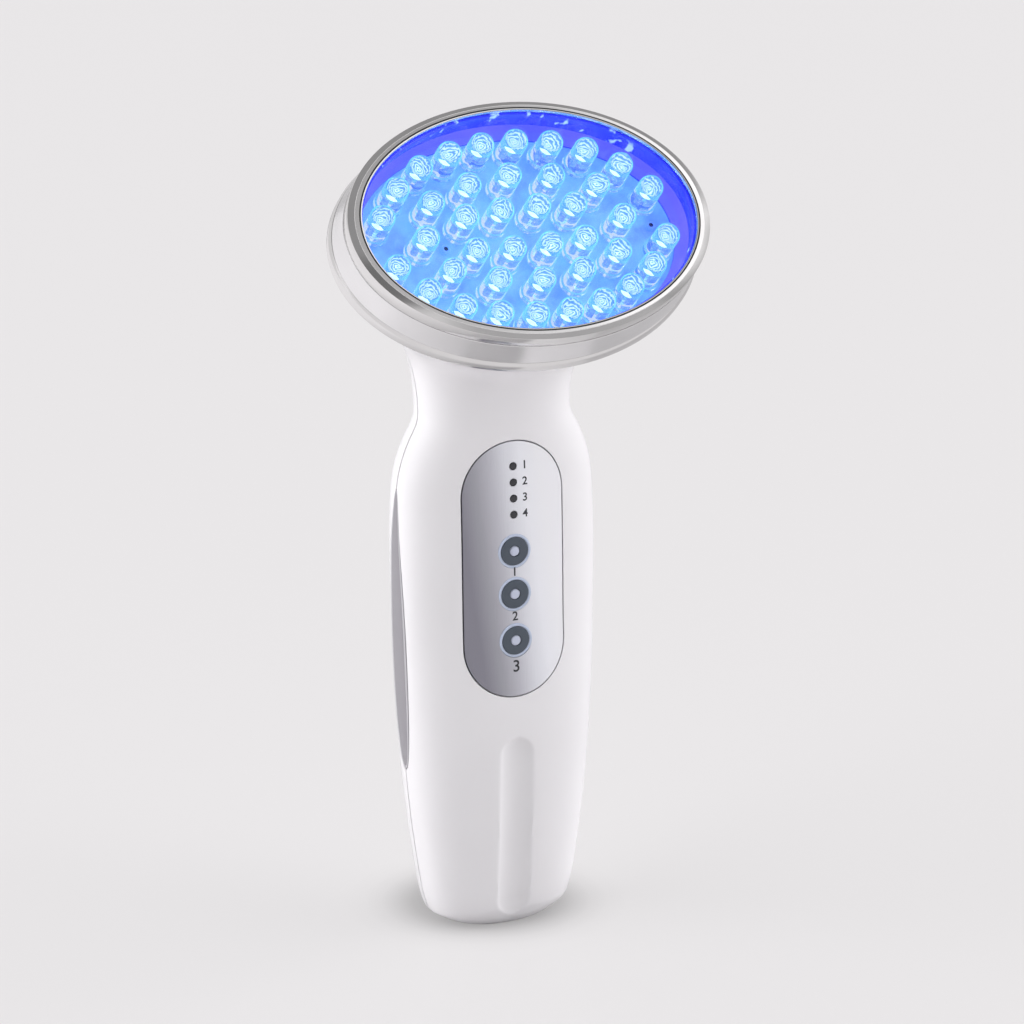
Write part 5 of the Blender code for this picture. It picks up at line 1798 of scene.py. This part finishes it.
    def build_board(self) -> None:
        """Lamp board, plain at the back, with its two screws, whose heads glow with the board's painted light
        and have painted shade in their hollows.
        """
        plate = [self.oval(self.rebate_share, -self.slim_gap, self.board_back),
                 self.oval(self.rebate_share, -self.slim_gap, self.board_front)]
        board = loft(plate)
        into_head = self.skin.head_frame.to_3x3().inverted()
        for face in board.faces:
            face.material_index = int((into_head @ face.normal).z < self.back_tilt)
        Dressing((BOARD_FACE, CIRCUIT_BOARD), "lamps_on_board", nodes=("lamp_board",)).put_on(
            as_object("lamp_board_plate", board))
        for side, (across, up) in zip(Side, self.screw_shares):
            place = self.face_place(across * self.opening_half_width, up * self.opening_half_height,
                                    self.board_front)
            head = turned(self.board_screw_profile, 24, place)
            word = side.name.lower()
            for face in head.faces:
                middle = place.inverted() @ face.calc_center_median()
                # Painted shade: the hollow of the head, and what lies behind the board's face, take a near
                # black blue.
                in_painted_shade = math.hypot(middle.x, middle.y) < self.board_screw_hole or middle.z < 0.0
                face.material_index = int(in_painted_shade)
            Dressing((BOARD_FACE, HOLLOW_PAINTED_SHADE), "steel", nodes=("lamp_board_screw_" + word,)).put_on(
                as_object("board_screw_" + word, head))

    def build_lamps(self) -> None:
        """Forty clear lamps, each with its lit reflector, its die and the two arms of its frame."""
        places = self.lamp_places()
        parts = (("clear_lamps", turned(self.lamp_profile(), 28), LAMP_RESIN, self.dome_angle),
                 ("lamp_reflectors", keep_places(turned(self.bowl_profile, 24), "lamp_place"),
                  LAMP_REFLECTOR, SHARP_ANGLE),
                 ("lamp_dice", turned(self.die_profile, 16), LAMP_DIE, SHARP_ANGLE),
                 ("lamp_frames", joined(self.lamp_arms()), LAMP_FRAME, SHARP_ANGLE))
        for name, shape, finish, angle in parts:
            Dressing((finish,), "lamps_on_board", nodes=("lamp_board",), sharp_angle=angle).put_on(
                as_object(name, repeated(shape, places)))

    def lamp_profile(self) -> list[Point2]:
        """Profile of a lamp's resin, from its foot over the flange to the top of its dome.

        Returns:
            Points of (radius, level over the board).
        """
        edge, dome = self.flange_round, self.lamp_height - self.lamp_radius
        return [
            (0.0, self.lamp_lift), (self.flange_radius, self.lamp_lift),
            *arc((self.flange_radius - edge, self.flange_height - edge), (edge, edge), 0.0, 90.0, 3),
            (self.lamp_radius + self.lamp_foot, self.flange_height),
            (self.lamp_radius, self.flange_height + self.lamp_foot),
            *arc((0.0, dome), (self.lamp_radius, self.lamp_radius), 0.0, 90.0, 10)]

    def lamp_arms(self) -> list[bmesh.types.BMesh]:
        """The two arms of a lamp's frame.

        Returns:
            Their shapes.
        """
        arms = []
        for across, width, top in self.frame_arms:
            arm = bmesh.new()
            bmesh.ops.create_cube(arm, size=1.0)
            bmesh.ops.scale(arm, verts=arm.verts, vec=(width, self.frame_thickness, top - self.frame_foot))
            bmesh.ops.translate(arm, verts=arm.verts, vec=(across, 0.0, (top + self.frame_foot) / 2))
            upper = [edge for edge in arm.edges if all(vert.co.z > top / 2 for vert in edge.verts)]
            bmesh.ops.bevel(arm, geom=upper, offset=self.frame_bevel, segments=1, profile=0.5,
                            affect="EDGES", material=-1)
            arms.append(arm)
        return arms


# Fittings at the back and finishes of the works inside


@dataclass
class BackFittings:
    """The four housing screws and the charging socket."""

    housing: Housing
    socket_length: float = 0.0070
    socket_recess: float = 0.0003
    bore_radius: float = 0.0018
    bore_depth: float = 0.0055
    pin_radius: float = 0.00065
    pin_levels: Point2 = (0.0016, 0.0014)
    mouth_bevel: float = 0.0002
    tip_y: float = -0.0045
    thread_y: float = -0.0036
    tip_share: float = 0.6
    head_round: Point2 = (0.0004, 0.0003)
    cross_size: tuple[float, float, float] = (0.0019, 0.0014, 0.00045)

    def build(self) -> None:
        """Build and dress the screws and the socket."""
        for number, (across, height) in enumerate(self.housing.screw_places, 1):
            self.build_screw(number, across, height)
        self.build_socket()

    def build_screw(self, number: int, across: float, height: float) -> None:
        """One screw with a cross recess in its head.

        Args:
            number: Number of the screw.
            across: Its place along X.
            height: Its height.
        """
        top = self.housing.screw_head_y(across, height)
        radius, under = self.housing.screw_head_radius, top - self.housing.screw_head_height
        place = Matrix.Translation((across, 0.0, height)) @ TOWARDS_BACK
        shank = self.housing.screw_radius
        edge = self.head_round[0]
        profile = [(0.0, self.tip_y), (shank * self.tip_share, self.tip_y), (shank, self.thread_y),
                   (shank, under), (radius, under), (radius, top - edge),
                   *arc((radius - edge, top - edge), self.head_round, 0.0, 90.0, 4), (0.0, top)]
        screw = as_object(f"cross_screw_{number}", turned(profile, BORE_SEGMENTS, place))
        cutters = []
        for index, size in enumerate((self.cross_size, self.cross_size[::-1])):
            bar = bmesh.new()
            bmesh.ops.create_cube(bar, size=1.0)
            bmesh.ops.scale(bar, verts=bar.verts, vec=size)
            bmesh.ops.translate(bar, verts=bar.verts, vec=(across, top, height))
            cutters.append(as_object(f"cross_{number}_{index}", bar))
        carve(screw, [(cutter, Carving.CUT) for cutter in cutters])
        discard(cutters)
        Dressing((SCREW_STEEL,), "steel", nodes=(f"shell_screw_{number}",)).put_on(screw)

    def build_socket(self) -> None:
        """Round socket with a chamfered mouth and a centre pin."""
        housing = self.housing
        face = housing.skin.surface_y(0.0, housing.socket_height, Half.BACK) - self.socket_recess
        floor = face - self.bore_depth
        place = Matrix.Translation((0.0, 0.0, housing.socket_height)) @ TOWARDS_BACK
        radius, bevel = housing.socket_radius, self.mouth_bevel
        shoulder, tip = (face - level for level in self.pin_levels)
        body = [(0.0, face - self.socket_length), (radius, face - self.socket_length),
                (radius, face - bevel), (radius - bevel, face), (self.bore_radius + bevel, face),
                (self.bore_radius, face - bevel), (self.bore_radius, floor), (self.pin_radius, floor),
                (self.pin_radius, shoulder), (self.pin_radius - bevel, tip), (0.0, tip)]
        Dressing((DARK_PLASTIC,), "dark_plastic", nodes=("charge_socket",)).put_on(
            as_object("socket_body", turned(body, 48, place)))


@dataclass(frozen=True)
class InnerWorks:
    """Finishes of the works inside the housing, whose CAD forms stay."""

    finishes: tuple[tuple[str, object], ...] = (
        ("keypad", KEYPAD_RUBBER),
        ("tact_switch", DARK_PLASTIC),
        ("control_board_screw", SCREW_STEEL),
        ("control_board", CIRCUIT_BOARD),
        ("controller_chip", DARK_PLASTIC),
        ("driver_chip", DARK_PLASTIC),
        ("driver_coil", DARK_PLASTIC),
        ("battery_cell", CELL_SLEEVE),
        ("battery_cradle", DARK_PLASTIC),
        ("cell_bridge", SCREW_STEEL),
        ("cell_contact", SCREW_STEEL),
        ("lamp_wire", WIRE_COVER),
        ("charge_wire", WIRE_COVER),
        ("battery_wire", WIRE_COVER),
    )

    def build(self) -> None:
        """Give each carried node its finish."""
        for name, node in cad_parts.items():
            for start, finish in self.finishes:
                if name.startswith(start):
                    node.data.materials.clear()
                    node.data.materials.append(WARDROBE.get(finish))
                    LOG.info("%s: dressed", name)
                    break


# Studio


@dataclass(frozen=True)
class Glow:
    """A soft patch of the studio dome that is brighter or darker than the rest."""

    direction: tuple[float, float, float]
    inner: float
    outer: float
    amount: float


@dataclass
class Studio:
    """Pale floor, soft dome of light and the camera."""

    floor_size: float = 12.0
    dome_level: float = 0.80
    pale: Colour = (0.785, 0.770, 0.777)
    pale_share: float = 0.70
    contact_middle: Point2 = (0.0012, 0.0072)
    contact_reach: float = 0.0322
    glows: tuple[Glow, ...] = (
        Glow((0.88, -0.28, 0.38), 20.0, 40.0, 2.4),
        Glow((0.80, -0.54, 0.28), 10.0, 28.0, 0.6),
        Glow((-0.90, 0.08, 0.42), 16.0, 38.0, 3.0),
        Glow((-0.33, -0.90, 0.28), 29.0, 56.0, -0.78),
        Glow((0.42, 0.42, 0.80), 22.0, 34.0, -0.40),
    )
    seen_through: float = 0.66
    shine_level: float = 0.33
    shine: tuple[Glow, ...] = (
        Glow((0.0, 0.0, -1.0), 118.0, 124.0, 0.42),
        Glow((0.62, -0.34, 0.71), 11.0, 31.0, 0.95),
        Glow((0.85, -0.38, 0.36), 10.0, 22.0, -0.42),
        Glow((0.40, -0.88, 0.28), 14.0, 30.0, -0.28),
        Glow((-0.98, 0.0, 0.20), 8.0, 22.0, 0.15),
        Glow((-0.30, -0.72, 0.62), 8.0, 20.0, -0.14),
    )
    camera_place: tuple[float, float, float] = (-0.396919, -0.868454, 0.375534)
    camera_target: tuple[float, float, float] = (0.004381, 0.000146, 0.084834)
    camera_lens: float = 175.8
    camera_roll: float = math.radians(-0.35)
    sensor_width: float = 36.0
    camera_clip: Point2 = (0.01, 50.0)
    light_tone: Colour = (1.0, 0.992, 1.0)
    floor_drop: float = 0.00003
    floor_roughness: float = 0.22
    floor_ior: float = 1.25
    contact_levels: tuple[Point2, ...] = (
        (0.09, 1.0), (0.22, 0.98), (0.33, 0.92), (0.43, 0.80), (0.53, 0.65), (0.67, 0.53))
    mirror_half_width: float = 0.25
    mirror_levels: tuple[Point2, ...] = (
        (0.20, 0.98), (0.30, 0.80), (0.38, 0.66), (0.448, 0.50), (0.452, 0.38), (0.548, 0.28),
        (0.554, 0.78), (0.670, 0.60), (0.678, 0.42), (1.0, 0.44))
    mirror_green: float = 0.985
    mirror_reach: Point2 = (-0.09, -0.05)

    def build(self) -> None:
        """Build the floor, the dome and the camera."""
        scene = bpy.context.scene
        scene.view_settings.view_transform = "Standard"
        self.build_floor()
        self.build_dome()
        self.build_camera()

    def build_floor(self) -> None:
        """Pale floor that keeps a soft shadow and a faint reflection, with a painted contact shadow round the
        wand's base and painted reflections for the metal.
        """
        bm = bmesh.new()
        bmesh.ops.create_grid(bm, x_segments=4, y_segments=4, size=self.floor_size / 2)
        bmesh.ops.translate(bm, verts=bm.verts, vec=(0.0, 0.0, -self.floor_drop))
        floor = as_object("studio_floor", bm)
        tree = NodeTree("pale studio floor", self.pale, self.floor_roughness)
        tree.set("IOR", self.floor_ior)
        shade = self.contact_shade(tree)
        tree.feed(shade, "Base Color")
        path = tree.add("LightPath")
        plain = tree.add("Emission")
        tree.link(self.mirrored_floor(tree, shade, path.outputs["Is Glossy Ray"]), plain, "Color")
        seen: bpy.types.NodeSocket = path.outputs["Is Camera Ray"]
        for other in ("Is Glossy Ray", "Is Transmission Ray"):
            either = tree.add("Math", operation="MAXIMUM")
            tree.link(seen, either, 0)
            tree.link(path.outputs[other], either, 1)
            seen = either.outputs["Value"]
        mix = tree.add("MixShader")
        tree.link(tree.spread(seen, 0.0, self.pale_share, 0.0, 1.0), mix, "Fac")
        tree.link(tree.shader.outputs["BSDF"], mix, 1)
        tree.link(plain.outputs["Emission"], mix, 2)
        tree.link(mix.outputs["Shader"], tree.nodes["Material Output"], "Surface")
        floor.data.materials.append(tree.material)

    def contact_shade(self, tree: NodeTree) -> bpy.types.NodeSocket:
        """Floor colour, with a painted shadow that deepens it in a patch round the wand's base.

        Args:
            tree: The floor's material.

        Returns:
            The colour.
        """
        # Painted shadow: a soft round patch under the wand's base, on top of the floor's real shadow.
        spot = tree.places((1 / self.contact_reach, 1 / self.contact_reach, 0.0))
        spot.node.inputs["Location"].default_value = (
            -self.contact_middle[0] / self.contact_reach, -self.contact_middle[1] / self.contact_reach, 0.0)
        near = tree.add("TexGradient", gradient_type="SPHERICAL")
        tree.link(spot, near, "Vector")
        return tree.ramp(near.outputs["Fac"], [
            (place, tuple(part * level for part in self.pale)) for place, level in self.contact_levels])

    def mirrored_floor(self, tree: NodeTree, shade: bpy.types.NodeSocket,
                       glossy: bpy.types.NodeSocket) -> bpy.types.NodeSocket:
        """Painted reflections: paler and deeper tones of the floor near the wand, which only its metal shows.

        Args:
            tree: The floor's material.
            shade: The floor's own colour.
            glossy: One for a reflected ray.

        Returns:
            The colour that each kind of ray meets.
        """
        place = tree.add("SeparateXYZ")
        tree.link(tree.places(), place, "Vector")
        half = self.mirror_half_width
        across = tree.spread(place.outputs["X"], 0.0, 1.0, -half, half)
        # Painted reflections: light and dark bands across the floor that only reflected rays meet, so that
        # the metal shows them.
        tones = tree.ramp(across, [
            (at, (level, level * self.mirror_green, level)) for at, level in self.mirror_levels])
        reach = tree.spread(place.outputs["Y"], 0.0, 1.0, *self.mirror_reach)
        share = tree.add("Math", operation="MULTIPLY")
        tree.link(glossy, share, 0)
        tree.link(reach, share, 1)
        mix = tree.add("Mix", data_type="RGBA")
        tree.link(share.outputs["Value"], mix, 0)
        tree.link(shade, mix, MIX_FIRST)
        tree.link(tones, mix, MIX_SECOND)
        return mix.outputs[MIX_RESULT]

    def build_dome(self) -> None:
        """World that lights the wand softly, with brighter and darker patches for the metal to show."""
        world = bpy.data.worlds.new("soft studio dome")
        bpy.context.scene.world = world
        world.use_nodes = True
        nodes, links = world.node_tree.nodes, world.node_tree.links
        nodes.clear()
        output = nodes.new("ShaderNodeOutputWorld")
        coordinates = nodes.new("ShaderNodeTexCoord")
        path = nodes.new("ShaderNodeLightPath")
        choice = nodes.new("ShaderNodeMapRange")
        links.new(path.outputs["Is Glossy Ray"], choice.inputs["Value"])
        for socket, base, glows in (("To Min", self.dome_level, self.glows),
                                    ("To Max", self.shine_level, self.shine)):
            level = self.sky(world.node_tree, coordinates.outputs["Generated"], base, glows)
            links.new(level, choice.inputs[socket])
        through = nodes.new("ShaderNodeMapRange")
        links.new(path.outputs["Is Transmission Ray"], through.inputs["Value"])
        links.new(choice.outputs["Result"], through.inputs["To Min"])
        through.inputs["To Max"].default_value = self.seen_through
        light = nodes.new("ShaderNodeBackground")
        light.inputs["Color"].default_value = (*self.light_tone, 1.0)
        links.new(through.outputs["Result"], light.inputs["Strength"])
        links.new(light.outputs["Background"], output.inputs["Surface"])

    @staticmethod
    def sky(tree: bpy.types.NodeTree, direction: bpy.types.NodeSocket, base: float,
            glows: Sequence[Glow]) -> bpy.types.NodeSocket:
        """Level of the dome in each direction.

        Args:
            tree: The world's nodes.
            direction: Direction that is looked in.
            base: Level away from every patch.
            glows: The brighter and darker patches.

        Returns:
            The level.
        """
        level: bpy.types.NodeSocket | None = None
        for glow in glows:
            dot = tree.nodes.new("ShaderNodeVectorMath")
            dot.operation = "DOT_PRODUCT"
            tree.links.new(direction, dot.inputs[0])
            dot.inputs[1].default_value = Vector(glow.direction).normalized()
            span = tree.nodes.new("ShaderNodeMapRange")
            span.interpolation_type = "SMOOTHSTEP"
            span.inputs["From Min"].default_value = math.cos(math.radians(glow.outer))
            span.inputs["From Max"].default_value = math.cos(math.radians(glow.inner))
            span.inputs["To Min"].default_value = 0.0
            span.inputs["To Max"].default_value = glow.amount
            tree.links.new(dot.outputs["Value"], span.inputs["Value"])
            add = tree.nodes.new("ShaderNodeMath")
            add.operation = "ADD"
            tree.links.new(span.outputs["Result"], add.inputs[0])
            if level is None:
                add.inputs[1].default_value = base
            else:
                tree.links.new(level, add.inputs[1])
            level = add.outputs["Value"]
        return level

    def build_camera(self) -> None:
        """Camera at the photograph's angle."""
        data = bpy.data.cameras.new("photograph camera")
        data.lens = self.camera_lens
        data.sensor_width = self.sensor_width
        data.clip_start, data.clip_end = self.camera_clip
        camera = bpy.data.objects.new("photograph_camera", data)
        bpy.context.scene.collection.objects.link(camera)
        place = Vector(self.camera_place)
        look = (Vector(self.camera_target) - place).to_track_quat("-Z", "Y").to_matrix().to_4x4()
        camera.matrix_world = Matrix.Translation(place) @ look @ Matrix.Rotation(self.camera_roll, 4, "Z")
        bpy.context.scene.camera = camera


def main() -> None:
    """Build every piece in order."""
    logging.basicConfig(level=logging.INFO, format="%(message)s")
    skin = Skin()
    housing = Housing(skin)
    builders: tuple[tuple[str, Callable[[], None]], ...] = (
        ("housing", housing.build),
        ("side grips", SideGrips(housing).build),
        ("control panel", ControlPanel(housing).build),
        ("lamp head", LampHead(skin).build),
        ("back fittings", BackFittings(housing).build),
        ("inner works", InnerWorks().build),
        ("studio", Studio().build),
    )
    for name, build in builders:
        build()
        LOG.info("built the %s", name)


if __name__ == "__main__":
    main()
